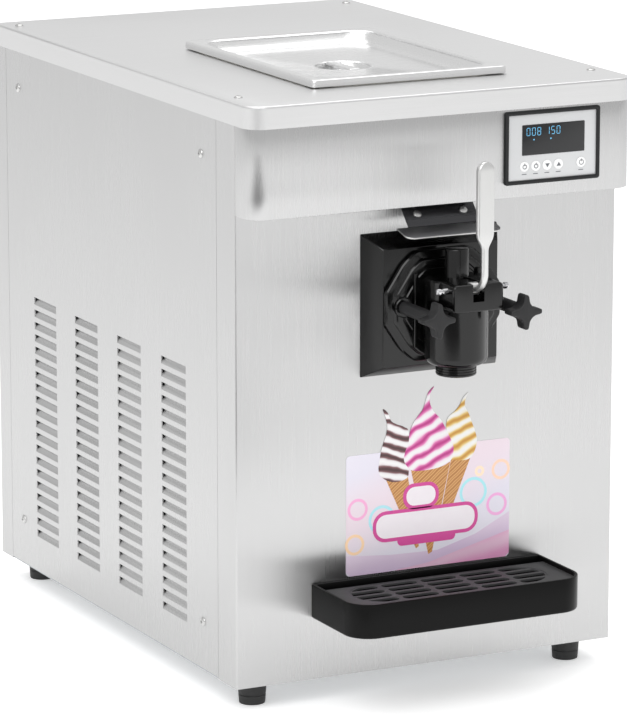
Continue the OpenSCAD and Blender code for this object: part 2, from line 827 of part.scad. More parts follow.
module head_studs() {
    nut_t = 6;
    color("silver") for (s = [-1, 1]) translate([s * knob_x, 0, knob_z]) {
        rod_y(stud_r, -knob_front + 22, sheet_t + nut_t + 3);
        translate([0, sheet_t + nut_t, 0]) rotate([90, 0, 0]) cylinder(r = 6.5, h = nut_t, $fn = 6);
    }
}

// Four-lobed knob on a long shank, with a blind bore for its stud.
module star_knob(x) {
    star_r = 16.2;
    head_t = 15;
    notch_r = 10.3;
    color([0.13, 0.13, 0.13]) translate([x, 0, knob_z]) difference() {
        union() {
            along_y(-knob_front, -knob_front + head_t) difference() {
                circle(star_r);
                for (a = [45 : 90 : 315]) rotate(a) translate([18.5, 0]) circle(notch_r);
            }
            rod_y(shank_r, -knob_front + head_t - eps, -plate_front - 0.3);
        }
        rod_y(stud_r + fit, -knob_front + 20, -plate_front + 1);
    }
}

module knob_left() star_knob(-knob_x);
module knob_right() star_knob(knob_x);

module nozzle_cap() {
    spigot_r = 15;
    outlet_r = 7;
    color([0.1, 0.1, 0.1]) translate([0, -valve_out, 0]) difference() {
        rod_z(nozzle_r, outlet_low, outlet_low + nozzle_h - 3);
        rod_z(spigot_r + fit, outlet_low + 3 - fit, outlet_low + nozzle_h);
        rod_z(outlet_r, outlet_low - 1, outlet_low + 4);
        for (a = [0 : 60 : 300]) rotate(a) translate([outlet_r, 0, 0])
            rod_z(1.8, outlet_low - 1, outlet_low + 4);
    }
}

// ---------- drip tray ----------

// Tray's plan behind its front edge, shrunk by g, with rounded front corners.
module tray_outline(g) {
    w = tray_w / 2 - g;
    r = max(tray_r - g, 2);
    front = -tray_d + g;
    back = -0.4 - g;
    translate([-w, front + r]) square([2 * w, back - front - r]);
    translate([-w + r, front]) square([2 * (w - r), r + eps]);
    for (s = [-1, 1]) translate([s * (w - r), front + r]) circle(r);
}

module drip_tray() {
    color([0.14, 0.14, 0.14]) {
        difference() {
            along_z(tray_z, tray_top) tray_outline(0);
            along_z(tray_z + tray_wall, tray_top + 1) tray_outline(tray_wall + ledge_w);
            along_z(grille_z, tray_top + 1) tray_outline(tray_wall);
        }
        for (s = [-1, 1]) translate([s * tab_x - tab_w / 2, 0, tab_z])
            block(0, tab_w, -0.4 - eps, tab_len, 0, tab_t);
    }
}

// Stadium-shaped field of round-ended slots.
module grille_slots() {
    field_w = tray_w - 48;
    field_d = tray_d - 28;
    rows = 4;
    cols = 5;
    row = field_d / rows;
    bar = 4.6;
    col = field_w / cols + 4.4;
    slot_d = row - bar;
    translate([0, -tray_d / 2 + 5]) intersection() {
        rounded(field_w, field_d - bar / 2, field_d / 2 - bar / 4 - 0.1);
        for (r = [0 : rows - 1], c = [0 : cols - 1])
            translate([(c - (cols - 1) / 2) * col, (r - (rows - 1) / 2) * row])
                rounded(col - bar, slot_d, slot_d / 2 - 0.05);
    }
}

module drip_grille() {
    color([0.4, 0.4, 0.4]) along_z(grille_z, grille_z + grille_t) difference() {
        intersection() {
            tray_outline(tray_wall + grille_gap);
            translate([-tray_w, -tray_d - 1]) square([2 * tray_w, tray_d + 1 - grille_back]);
        }
        grille_slots();
    }
}

// ---------- hopper ----------

module at_hopper() translate([0, hopper_y, 0]) children();

module hopper() {
    flange = 12;
    color("silver") difference() {
        at_hopper() union() {
            along_z(hopper_low, deck_z) rounded(hopper_w + 2 * sheet_t, hopper_l + 2 * sheet_t,
                hopper_r + sheet_t);
            along_z(deck_z - sheet_t, deck_z) rounded(hopper_w + 2 * flange,
                hopper_l + 2 * flange, hopper_r);
        }
        at_hopper() along_z(hopper_low + sheet_t, deck_z + 1) rounded(hopper_w, hopper_l, hopper_r);
        translate([0, neck_y, 0]) rod_z(neck_r, hopper_low - 1, hopper_low + 3);
    }
}

module hopper_lid() {
    wall = 1.2;
    sink_w = hopper_w - 2 * lid_gap;
    sink_l = hopper_l - 2 * lid_gap;
    sink_r = hopper_r - lid_gap;
    color([0.9, 0.9, 0.9]) at_hopper() difference() {
        union() {
            along_z(top_z + 1, lid_top) rounded(lid_w, lid_l, 5);
            along_z(pan_floor - wall, lid_top - wall) rounded(sink_w, sink_l, sink_r);
            rod_z(dish_r, pan_floor - dish_depth, pan_floor);
        }
        difference() {
            along_z(top_z, lid_top - wall) rounded(lid_w - 2 * wall, lid_l - 2 * wall, 5 - wall);
            along_z(top_z - 1, lid_top) rounded(sink_w, sink_l, sink_r);
        }
        along_z(pan_floor, lid_top + 1) rounded(sink_w - 2 * wall, sink_l - 2 * wall, sink_r - wall);
        rod_z(dish_r - wall, pan_floor - dish_depth + wall, pan_floor + 1);
    }
}

module lid_handle() {
    bar_w = 11;
    bar_t = 3;
    color([0.85, 0.85, 0.85]) at_hopper() intersection() {
        block(-bar_w / 2, bar_w / 2, -dish_r, dish_r, pan_floor - bar_t, pan_floor);
        rod_z(dish_r - 1.25, pan_floor - bar_t, pan_floor);
    }
}

module lid_gasket() {
    seal = 4.5;
    out = 5.5;
    color([0.85, 0.85, 0.82]) at_hopper() difference() {
        along_z(top_z, lid_top - 1.2) rounded(hopper_w + 2 * out, hopper_l + 2 * out, hopper_r + out);
        along_z(top_z - 1, lid_top) rounded(hopper_w + 2 * (out - seal), hopper_l + 2 * (out - seal),
            hopper_r + out - seal);
    }
}

// Air tube that stands in the hopper's outlet and meters the mix.
module feed_tube() {
    wall = 2.2;
    tube_low = hopper_low - 22;
    color([0.85, 0.85, 0.82]) translate([0, neck_y, 0]) difference() {
        union() {
            rod_z(tube_r, tube_low, tube_top);
            rod_z(neck_r + 4, hopper_low + sheet_t + 0.3, hopper_low + sheet_t + 6);
        }
        rod_z(tube_r - wall, tube_low - 1, tube_top + 1);
        translate([0, 0, hopper_low + 14]) rod_y(3, -neck_r - 5, 0);
    }
}

// ---------- freezing cylinder ----------

module freezing_cylinder() {
    back_wall = 8;
    color("silver") difference() {
        union() {
            translate([0, 0, head_z]) rod_y(barrel_r, -barrel_front, bulkhead_y);
            translate([0, neck_y, 0]) rod_z(neck_r + neck_wall, head_z, hopper_low);
        }
        translate([0, 0, head_z]) {
            rod_y(bore_r, -barrel_front - 1, bulkhead_y - back_wall);
            rod_y(9 + seal_gap, 0, bulkhead_y + 1);
        }
        translate([0, neck_y, 0]) rod_z(neck_r, head_z, hopper_low + 1);
    }
}

module evaporator() {
    wrap = 1.6;
    y1 = coil_y + coil_pitch * coil_turns;
    color([0.72, 0.45, 0.2]) translate([0, 0, head_z]) rotate([-90, 0, 0])
        rotate_extrude() difference() {
            union() {
                translate([barrel_r + 0.1, coil_y]) square([wrap, y1 - coil_y]);
                for (k = [0 : coil_turns - 1])
                    translate([barrel_r + 0.1 + coil_r, coil_y + (k + 0.5) * coil_pitch])
                        circle(coil_r, $fn = 32);
            }
            square([barrel_r + 0.1, 2 * bulkhead_y], center = true);
        }
}

module insulation() {
    inner = barrel_r + 2 * coil_r + 0.4;
    color([0.9, 0.86, 0.7]) difference() {
        translate([0, 0, head_z]) rod_y(inner + foam_t, sheet_t, bulkhead_y);
        translate([0, 0, head_z]) rod_y(inner, 0, bulkhead_y + 1);
        translate([0, neck_y, 0]) rod_z(neck_r + neck_wall + 0.4, head_z, hopper_low + 1);
        for (s = [-1, 1]) translate([s * knob_x, 0, knob_z]) rod_y(9, 0, 14);
    }
}

module beater_shaft() {
    core = 8;
    color([0.8, 0.8, 0.8]) translate([0, 0, head_z]) {
        rod_y(6, beater_start, -plate_back + 16);
        rod_y(core, -plate_back + 15.5, beater_end);
        rod_y(9, beater_end - eps, gearbox_y + 20);
    }
}

module beater_blade() {
    blade_t = 4;
    root_r = 7.6;
    y0 = -plate_back + 20;
    color([0.93, 0.93, 0.9]) translate([0, beater_end - 4, head_z]) rotate([90, 0, 0])
        linear_extrude(beater_end - 4 - y0, twist = 720, slices = 72, $fn = 13)
            for (a = [0, 180]) rotate(a)
                translate([root_r, -blade_t / 2]) square([bore_r - 0.6 - root_r, blade_t]);
}

module shaft_seal() {
    color([0.2, 0.2, 0.2]) translate([0, 0, head_z]) difference() {
        rod_y(15, bulkhead_y - 13, bulkhead_y - 8);
        rod_y(9.3, bulkhead_y - 14, bulkhead_y - 7);
    }
}

// ---------- drive ----------

module gearbox() {
    case_r = 46;
    flange_r = 55;
    color([0.55, 0.57, 0.6]) translate([0, 0, head_z]) difference() {
        union() {
            rod_y(flange_r, gearbox_y, gearbox_y + 7);
            rod_y(case_r, gearbox_y, gearbox_y + gearbox_len);
            rod_y(20, gearbox_y, gearbox_y + gearbox_len + 7);
        }
        rod_y(9 + fit, gearbox_y - 1, gearbox_y + 24);
        rod_y(8 + fit, gearbox_y + gearbox_len - 26, gearbox_y + gearbox_len + 8);
    }
}

module pulley(r, shaft_r, shaft_y0, shaft_y1) {
    lip = 3;
    difference() {
        union() {
            rod_y(r, pulley_y + eps, pulley_y + pulley_w - eps);
            rod_y(r + lip, pulley_y, pulley_y + 2);
            rod_y(r + lip, pulley_y + pulley_w - 2, pulley_y + pulley_w);
            rod_y(shaft_r, shaft_y0, shaft_y1);
        }
        if (r > 40) for (a = [0 : 60 : 300]) rotate([0, a, 0]) translate([r * 0.6, 0, 0])
            rod_y(r * 0.2, pulley_y - 1, pulley_y + pulley_w + 1);
    }
}

module large_pulley() {
    color([0.35, 0.36, 0.38]) translate([0, 0, head_z])
        pulley(big_pulley_r, 8, gearbox_y + gearbox_len - 24, pulley_y + pulley_w + 4);
}

module small_pulley() {
    color([0.5, 0.5, 0.52]) translate([motor_x, 0, motor_z])
        pulley(small_pulley_r, 7, pulley_y - 4, motor_y + 40);
}

// Plan of a belt loop around both pulleys, drawn along local +X, g outside the pulleys.
module belt_loop(g, span) {
    r1 = big_pulley_r + g;
    r2 = small_pulley_r + g;
    a = acos((r1 - r2) / span);
    polygon(concat(
        [for (k = [0 : 48]) let (t = a + (360 - 2 * a) * k / 48) r1 * [cos(t), sin(t)]],
        [for (k = [0 : 32]) let (t = -a + 2 * a * k / 32) [span, 0] + r2 * [cos(t), sin(t)]]));
}

module drive_belt() {
    span = norm([motor_x, motor_z - head_z]);
    side = 2.5;
    color([0.1, 0.1, 0.1]) translate([0, 0, head_z])
        rotate([0, -atan2(motor_z - head_z, motor_x), 0])
            along_y(pulley_y + side, pulley_y + pulley_w - side) difference() {
                belt_loop(belt_gap + belt_t, span);
                belt_loop(belt_gap, span);
            }
}

module drive_motor() {
    foot_w = 70;
    color([0.3, 0.33, 0.38]) difference() {
        union() {
            translate([motor_x, 0, motor_z]) {
                rod_y(motor_r, motor_y, motor_y + motor_len);
                rod_y(22, motor_y - 4, motor_y + eps);
            }
            block(motor_x - foot_w / 2, motor_x + foot_w / 2, motor_y + 15, motor_y + motor_len - 15,
                pan_t, motor_z);
        }
        translate([motor_x, 0, motor_z]) rod_y(7 + fit, motor_y - 5, motor_y + 44);
    }
}

// ---------- cooling and wiring ----------

module compressor() {
    r = 64;
    dome = 26;
    color([0.1, 0.1, 0.11]) translate([comp_x, comp_y, 0]) {
        for (a = [30 : 120 : 270]) rotate(a) translate([r + 4, 0, 0]) rod_z(7, pan_t, pan_t + 14);
        rod_z(r + 10, pan_t + 14 - eps, pan_t + 18);
        translate([0, 0, pan_t + 18 - eps]) rotate_extrude() union() {
            square([r, comp_h - dome - 18]);
            translate([0, comp_h - dome - 18]) square([r - dome, dome]);
            intersection() {
                translate([r - dome, comp_h - dome - 18]) circle(dome);
                square([r, comp_h]);
            }
        }
    }
}

module condenser() {
    fin_t = 1.2;
    fins = 24;
    z0 = pan_t;
    step = (cond_y1 - cond_y0 - 6) / fins;
    shroud_x = cond_x + cond_t;
    color([0.7, 0.7, 0.72]) {
        difference() {
            block(cond_x, shroud_x, cond_y0, cond_y1, z0, cond_z1);
            for (k = [0 : fins - 1])
                block(cond_x - 1, shroud_x - 8, cond_y0 + 3 + k * step + fin_t,
                    cond_y0 + 3 + (k + 1) * step, z0 + 8, cond_z1 - 4);
            translate([0, fan_y, fan_z]) rod_x(fan_r + 6, shroud_x - 9, shroud_x + 1);
        }
        translate([0, fan_y, fan_z]) difference() {
            rod_x(fan_r + 8, shroud_x - eps, shroud_x + 22);
            rod_x(fan_r + 6, shroud_x - 1, shroud_x + 23);
        }
    }
}

module fan_blade() {
    blades = 5;
    color([0.75, 0.75, 0.76]) translate([0, fan_y, fan_z]) {
        rod_x(20, fan_x, fan_x + 14);
        rod_x(3, fan_x + 14 - eps, fan_motor_x + 20);
        for (k = [0 : blades - 1]) rotate([k * 360 / blades, 0, 0])
            translate([fan_x + 7, 0, 17]) rotate([0, 0, 35])
                translate([-1, -17, 0]) cube([2, 34, fan_r - 22]);
    }
}

module fan_motor() {
    r = 32;
    color([0.2, 0.2, 0.22]) difference() {
        union() {
            translate([0, fan_y, fan_z]) rod_x(r, fan_motor_x, fan_motor_x + 42);
            block(fan_motor_x + 8, fan_motor_x + 12, fan_y - 15, fan_y + 15, pan_t, fan_z);
            block(fan_motor_x + 8, fan_motor_x + 34, fan_y - 15, fan_y + 15, pan_t, pan_t + 3);
        }
        translate([0, fan_y, fan_z]) rod_x(3 + fit, fan_motor_x - 1, fan_motor_x + 24);
    }
}

module electrical_box() {
    x1 = inner_w - post_t - 6;
    y0 = gearbox_y + 50;
    wall = 2;
    color([0.75, 0.76, 0.78]) difference() {
        block(x1 - 62, x1, y0, y0 + 120, pan_t, 210);
        block(x1 - 62 + wall, x1 - wall, y0 + wall, y0 + 120 - wall, pan_t + wall, 210 - wall);
    }
}

// Discharge line from the compressor to the condenser, with its filter drier.
module refrigerant_line() {
    r = 4;
    z = cond_z1 - 40;
    x0 = comp_x - 30;
    x1 = cond_x + cond_t;
    y1 = comp_y + 118;
    color([0.72, 0.45, 0.2]) {
        translate([x0, comp_y, 0]) rod_z(r, comp_h + pan_t - eps, z);
        translate([x0, comp_y, z]) sphere(r);
        translate([x0, 0, z]) rod_y(r, comp_y, y1);
        translate([x0, y1, z]) sphere(r);
        translate([0, y1, z]) rod_x(r, x1, x0);
        translate([0, y1, z]) rod_x(12, -70, 0);
    }
}

module cable_gland() {
    color([0.1, 0.1, 0.1]) translate([gland_x, 0, gland_z]) difference() {
        union() {
            rod_y(8, rear_inner - 9, body_d + eps);
            translate([0, rear_inner, 0]) rotate([90, 0, 0]) cylinder(r = 13, h = 5, $fn = 6);
            translate([0, body_d + 6, 0]) rotate([90, 0, 0]) cylinder(r = 13, h = 6, $fn = 6);
            rod_y(10.5, body_d + 6 - eps, body_d + gland_len);
        }
        rod_y(4.2, rear_inner - 10, body_d + gland_len + 1);
    }
}

place() base_pan();
place() feet();
place() corner_posts();
place() bulkhead();
place() front_panel();
place() left_panel();
place() right_panel();
place() rear_panel();
place() top_cover();
place() hood();
place() side_screws();
place() cover_screws();
place() canopy();
place() canopy_screws();
place() picture_label();
place() control_bezel();
place() control_faceplate();
place() display_window();
place() control_board();
place() button_mix();
place() button_wash();
place() button_down();
place() button_up();
place() button_power();
place() head_surround();
place() dispensing_head();
place() head_gasket();
place() plunger();
place() plunger_rings();
place() lever();
place() pivot_pin();
place() head_studs();
place() knob_left();
place() knob_right();
place() nozzle_cap();
place() drip_tray();
place() drip_grille();
place() hopper();
place() hopper_lid();
place() lid_handle();
place() lid_gasket();
place() feed_tube();
place() freezing_cylinder();
place() evaporator();
place() insulation();
place() beater_shaft();
place() beater_blade();
place() shaft_seal();
place() gearbox();
place() large_pulley();
place() small_pulley();
place() drive_belt();
place() drive_motor();
place() compressor();
place() condenser();
place() fan_blade();
place() fan_motor();
place() electrical_box();
place() refrigerant_line();
place() cable_gland();
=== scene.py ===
"""Countertop soft serve machine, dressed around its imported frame.

Every solid of the frame keeps its place. Where a solid that shows is too sharp or too coarse,
a modelled piece stands for it, and each solid that stays gets the finish of its material slot.
Lengths are in millimetres from the lower edge of the front panel, at the machine's middle.
"""
from __future__ import annotations

import json
import logging
import math
from dataclasses import dataclass, field
from enum import Enum
from typing import Callable, Iterable, Sequence

import bpy
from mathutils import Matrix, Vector


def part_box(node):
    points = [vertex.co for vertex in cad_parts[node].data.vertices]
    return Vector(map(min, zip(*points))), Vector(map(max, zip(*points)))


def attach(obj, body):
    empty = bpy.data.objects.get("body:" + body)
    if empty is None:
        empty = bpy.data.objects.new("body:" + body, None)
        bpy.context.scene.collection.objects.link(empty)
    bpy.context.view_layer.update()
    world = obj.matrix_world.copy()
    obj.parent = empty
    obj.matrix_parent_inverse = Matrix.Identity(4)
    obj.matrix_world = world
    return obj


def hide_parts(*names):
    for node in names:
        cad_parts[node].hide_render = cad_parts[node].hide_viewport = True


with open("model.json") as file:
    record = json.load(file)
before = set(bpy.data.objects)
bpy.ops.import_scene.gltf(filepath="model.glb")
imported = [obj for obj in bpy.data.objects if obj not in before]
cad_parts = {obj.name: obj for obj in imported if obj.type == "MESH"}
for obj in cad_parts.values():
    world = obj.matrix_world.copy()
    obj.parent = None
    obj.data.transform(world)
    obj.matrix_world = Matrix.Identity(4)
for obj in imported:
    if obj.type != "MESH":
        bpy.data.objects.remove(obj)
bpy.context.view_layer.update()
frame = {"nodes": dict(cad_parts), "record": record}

log = logging.getLogger("soft_serve")
Point = tuple[float, float]
Spot = tuple[float, float, float]
Ring = list[Spot]
Layer = Callable[[Iterable[Point], float], Ring]

MM = 0.001
PANEL_LOW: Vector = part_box("front_panel")[0]
WELD = 1e-6         # Points nearer than this, in metres, are one point.
PIVOT: Point = (-85.0, 378.4)   # Y and Z of the hand lever's pin.
HOOK_X = 78.0       # The tray's hooks and their slots, either side of the middle.
HOOK_Z = 68.1


class Body(str, Enum):
    """Bodies of the frame that new pieces ride on."""

    CABINET = "cabinet"
    LEVER = "lever"
    PLUNGER = "plunger"
    KNOB_LEFT = "knob_left"
    KNOB_RIGHT = "knob_right"
    NOZZLE = "nozzle"
    TRAY = "tray"
    GRILLE = "grille"
    LID = "lid"
    BUTTON_MIX = "button_mix"
    BUTTON_WASH = "button_wash"
    BUTTON_DOWN = "button_down"
    BUTTON_UP = "button_up"
    BUTTON_POWER = "button_power"


class Axis(str, Enum):
    """Axes of the frame."""

    X = "X"
    Y = "Y"
    Z = "Z"


# ---------------------------------------------------------------- small tools


def place(x: float, y: float, z: float) -> Vector:
    """Turn millimetres from the front panel's lower edge into the frame's metres."""
    return Vector((0.0, PANEL_LOW.y, PANEL_LOW.z)) + Vector((x, y, z)) * MM


def linear(code: str) -> tuple[float, float, float, float]:
    """Turn an sRGB hex value into a linear colour.

    Args:
        code: Six hex digits with a leading mark.

    Returns:
        Red, green, blue and alpha.
    """
    parts = [int(code[i:i + 2], 16) / 255 for i in (1, 3, 5)]
    r, g, b = (c / 12.92 if c <= 0.04045 else ((c + 0.055) / 1.055) ** 2.4 for c in parts)
    return (r, g, b, 1.0)


def deselect() -> None:
    """Leave nothing selected."""
    if bpy.context.object and bpy.context.object.mode != "OBJECT":
        bpy.ops.object.mode_set(mode="OBJECT")
    bpy.ops.object.select_all(action="DESELECT")


def activate(piece: bpy.types.Object) -> None:
    """Make one piece the only selected and active one.

    Args:
        piece: Object that the next operators act on.
    """
    deselect()
    piece.select_set(True)
    bpy.context.view_layer.objects.active = piece


def apply_modifier(piece: bpy.types.Object, kind: str, **settings: object) -> None:
    """Add a modifier, set it and apply it.

    Args:
        piece: Object to change.
        kind: Modifier type.
        settings: Values of the modifier's settings.
    """
    activate(piece)
    modifier = piece.modifiers.new(kind.title(), kind)
    for key, value in settings.items():
        setattr(modifier, key, value)
    bpy.ops.object.modifier_apply(modifier=modifier.name)


def round_edges(piece: bpy.types.Object, width: float, segments: int = 2,
                angle: float = 30.0) -> None:
    """Round every edge that is sharper than an angle.

    Args:
        piece: Object to change.
        width: Width of the rounding in millimetres.
        segments: Number of faces across the rounding.
        angle: Least angle between two faces, in degrees.
    """
    apply_modifier(piece, "BEVEL", width=width * MM, segments=segments, limit_method="ANGLE",
                   angle_limit=math.radians(angle), use_clamp_overlap=True,
                   harden_normals=False)


def smooth(piece: bpy.types.Object, angle: float = 32.0) -> bpy.types.Object:
    """Shade a piece smooth except over sharp edges.

    Args:
        piece: Object to shade.
        angle: Least angle of an edge that stays sharp, in degrees.

    Returns:
        The same piece.
    """
    activate(piece)
    bpy.ops.object.shade_smooth_by_angle(angle=math.radians(angle))
    return piece


def tidy(piece: bpy.types.Object) -> None:
    """Merge doubles and turn every face outwards.

    Args:
        piece: Object to change.
    """
    activate(piece)
    bpy.ops.object.mode_set(mode="EDIT")
    bpy.ops.mesh.select_all(action="SELECT")
    bpy.ops.mesh.remove_doubles(threshold=WELD)
    bpy.ops.mesh.normals_make_consistent(inside=False)
    bpy.ops.object.mode_set(mode="OBJECT")


def loft(name: str, rings: Sequence[Ring], ends: bool = True) -> bpy.types.Object:
    """Model a skin through rings that all have the same number of points.

    The first ring is a circle primitive moved into shape. Each later one is extruded from it.

    Args:
        name: Name of the new piece.
        rings: Closed rings of points in the frame's metres.
        ends: Whether the first and last rings are filled.

    Returns:
        The new piece.
    """
    deselect()
    count = len(rings[0])
    bpy.ops.mesh.primitive_circle_add(vertices=count, radius=0.01, location=(0, 0, 0))
    piece = bpy.context.object
    piece.name = piece.data.name = name
    order = piece.data.attributes.new("order", "INT", "POINT")
    order.data.foreach_set("value", list(range(count)))
    for vertex, point in zip(piece.data.vertices, rings[0]):
        vertex.co = point
    bpy.ops.object.mode_set(mode="EDIT")
    bpy.ops.mesh.select_all(action="SELECT")
    if ends:
        bpy.ops.mesh.edge_face_add()
    bpy.ops.mesh.select_all(action="SELECT")
    bpy.ops.object.mode_set(mode="OBJECT")
    for ring in rings[1:]:
        bpy.ops.object.mode_set(mode="EDIT")
        bpy.ops.mesh.select_mode(type="EDGE")
        bpy.ops.mesh.extrude_edges_move()
        bpy.ops.mesh.select_mode(type="VERT")
        bpy.ops.object.mode_set(mode="OBJECT")
        index = piece.data.attributes["order"].data
        for vertex in piece.data.vertices:
            if vertex.select:
                vertex.co = ring[index[vertex.index].value]
    if ends:
        bpy.ops.object.mode_set(mode="EDIT")
        bpy.ops.mesh.edge_face_add()
        bpy.ops.object.mode_set(mode="OBJECT")
    piece.data.attributes.remove(piece.data.attributes["order"])
    tidy(piece)
    return piece


def rectangle(width: float, depth: float, radius: float, middle: Point = (0.0, 0.0),
              steps: int = 7) -> list[Point]:
    """Outline of a rounded rectangle, always with the same number of points.

    Args:
        width: Size along the first axis.
        depth: Size along the second axis.
        radius: Corner radius.
        middle: Middle of the rectangle.
        steps: Number of steps in each corner.

    Returns:
        Points in order.
    """
    least = 1e-3
    r = max(min(radius, width / 2 - least, depth / 2 - least), least)
    points = []
    for k, (sx, sy) in enumerate(((1, 1), (-1, 1), (-1, -1), (1, -1))):
        cx, cy = middle[0] + sx * (width / 2 - r), middle[1] + sy * (depth / 2 - r)
        for j in range(steps + 1):
            a = math.pi / 2 * (k + j / steps)
            points.append((cx + r * math.cos(a), cy + r * math.sin(a)))
    return points


def circle(radius: float, count: int = 48, middle: Point = (0.0, 0.0)) -> list[Point]:
    """Outline of a circle."""
    turn = 2 * math.pi / count
    return [(middle[0] + radius * math.cos(turn * k), middle[1] + radius * math.sin(turn * k))
            for k in range(count)]


def curve(points: Sequence[Point], steps: int = 5) -> list[Point]:
    """Draw a closed smooth outline through points.

    Args:
        points: Corners in order.
        steps: Number of points for each corner.

    Returns:
        Points in order.
    """
    out = []
    count = len(points)
    for k in range(count):
        a, b, c, d = (points[(k + i) % count] for i in (-1, 0, 1, 2))
        for j in range(steps):
            t = j / steps
            out.append(tuple(
                0.5 * (2 * b[i] + (c[i] - a[i]) * t
                       + (2 * a[i] - 5 * b[i] + 4 * c[i] - d[i]) * t * t
                       + (3 * b[i] - a[i] - 3 * c[i] + d[i]) * t ** 3) for i in (0, 1)))
    return out


def level(points: Iterable[Point], z: float) -> Ring:
    """Ring that lies level at height z, from points in X and Y."""
    return [tuple(place(x, y, z)) for x, y in points]


def facing(points: Iterable[Point], y: float) -> Ring:
    """Ring that faces the front at depth y, from points in X and Z."""
    return [tuple(place(x, y, z)) for x, z in points]


def sideways(points: Iterable[Point], x: float) -> Ring:
    """Ring that faces the side at x, from points in Y and Z."""
    return [tuple(place(x, y, z)) for y, z in points]


def slab(name: str, points: Sequence[Point], layer: Layer, start: float, end: float,
         edge: float = 0.0, segments: int = 2) -> bpy.types.Object:
    """Model an outline pulled from start to end, with its end edges rounded.

    Args:
        name: Name of the new piece.
        points: Outline in millimetres.
        layer: Function that turns the outline into a ring.
        start: Where the outline starts.
        end: Where it ends.
        edge: Width of the rounding.
        segments: Number of faces across the rounding.

    Returns:
        The new piece.
    """
    piece = loft(name, [layer(points, start), layer(points, end)])
    if edge:
        round_edges(piece, edge, segments, angle=40.0)
    return smooth(piece)


def turned(name: str, profile: Sequence[Point], axis: Axis, middle: Spot,
           count: int = 56) -> bpy.types.Object:
    """Model a turned part from its profile.

    Args:
        name: Name of the new piece.
        profile: Radius and place along the axis, one pair per ring.
        axis: Axis of the turning.
        middle: A point on the axis; its place along the axis isn't used.
        count: Number of points around.

    Returns:
        The new piece.
    """
    x, y, z = middle
    layer, spot = {Axis.X: (sideways, (y, z)), Axis.Y: (facing, (x, z)),
                   Axis.Z: (level, (x, y))}[axis]
    tip = 1e-4      # Radius at a pole, small enough for its points to merge.
    return smooth(loft(name, [layer(circle(max(r, tip), count, spot), h) for r, h in profile]))


def washer(name: str, outlines: Sequence[Sequence[Point]], front: float,
           back: float) -> bpy.types.Object:
    """Model a thin flat ring that faces the front.

    Args:
        name: Name of the new piece.
        outlines: Inner and outer outline, with the same number of points.
        front: Y of its front.
        back: Y of its back.

    Returns:
        The new piece.
    """
    inner, outer = outlines
    return loft(name, [facing(inner, back), facing(outer, back), facing(outer, front),
                       facing(inner, front), facing(inner, back)], ends=False)


def cut(piece: bpy.types.Object, tool: bpy.types.Object,
        operation: str = "DIFFERENCE") -> None:
    """Cut one piece with another, which is used up.

    Args:
        piece: Object to change.
        tool: Object that is taken away or kept in common.
        operation: Boolean operation.
    """
    apply_modifier(piece, "BOOLEAN", operation=operation, object=tool, solver="EXACT")
    bpy.data.objects.remove(tool)


def join(pieces: Sequence[bpy.types.Object], name: str) -> bpy.types.Object:
    """Join pieces into one.

    Args:
        pieces: Objects to join.
        name: Name of the joined piece.

    Returns:
        The joined piece.
    """
    deselect()
    for piece in pieces:
        piece.select_set(True)
    bpy.context.view_layer.objects.active = pieces[0]
    if len(pieces) > 1:
        bpy.ops.object.join()
    joined = bpy.context.object
    joined.name = joined.data.name = name
    return joined


def mirrored(piece: bpy.types.Object) -> bpy.types.Object:
    """Copy a piece with its own mesh to the other side of the machine.

    Args:
        piece: Object on one side.

    Returns:
        Its twin on the other side.
    """
    twin = piece.copy()
    twin.data = piece.data.copy()
    bpy.context.scene.collection.objects.link(twin)
    for vertex in twin.data.vertices:
        vertex.co.x = -vertex.co.x
    twin.data.flip_normals()
    return twin


# ---------------------------------------------------------------- finishes


COAT_ROUGHNESS = 0.08
FILM_ROUGHNESS = 0.34   # Printed vinyl and every ink on it.
BUMP_STRENGTH = 0.6
NOISE_LOW, NOISE_HIGH = 0.6, 1.4    # Usual range of two noises added together.
WAVE_TURN = 20.0        # The wave node multiplies its coordinate by this.
WANDER = 3.0            # Its detail scale for a wandering as wide as one band.


class Grain(Enum):
    """Ways in which a finish's fine pattern is stretched."""

    EVEN = (1.0, 1.0, 1.0)
    UPRIGHT = (1.0, 1.0, 0.008)
    ALONG_X = (0.008, 1.0, 1.0)


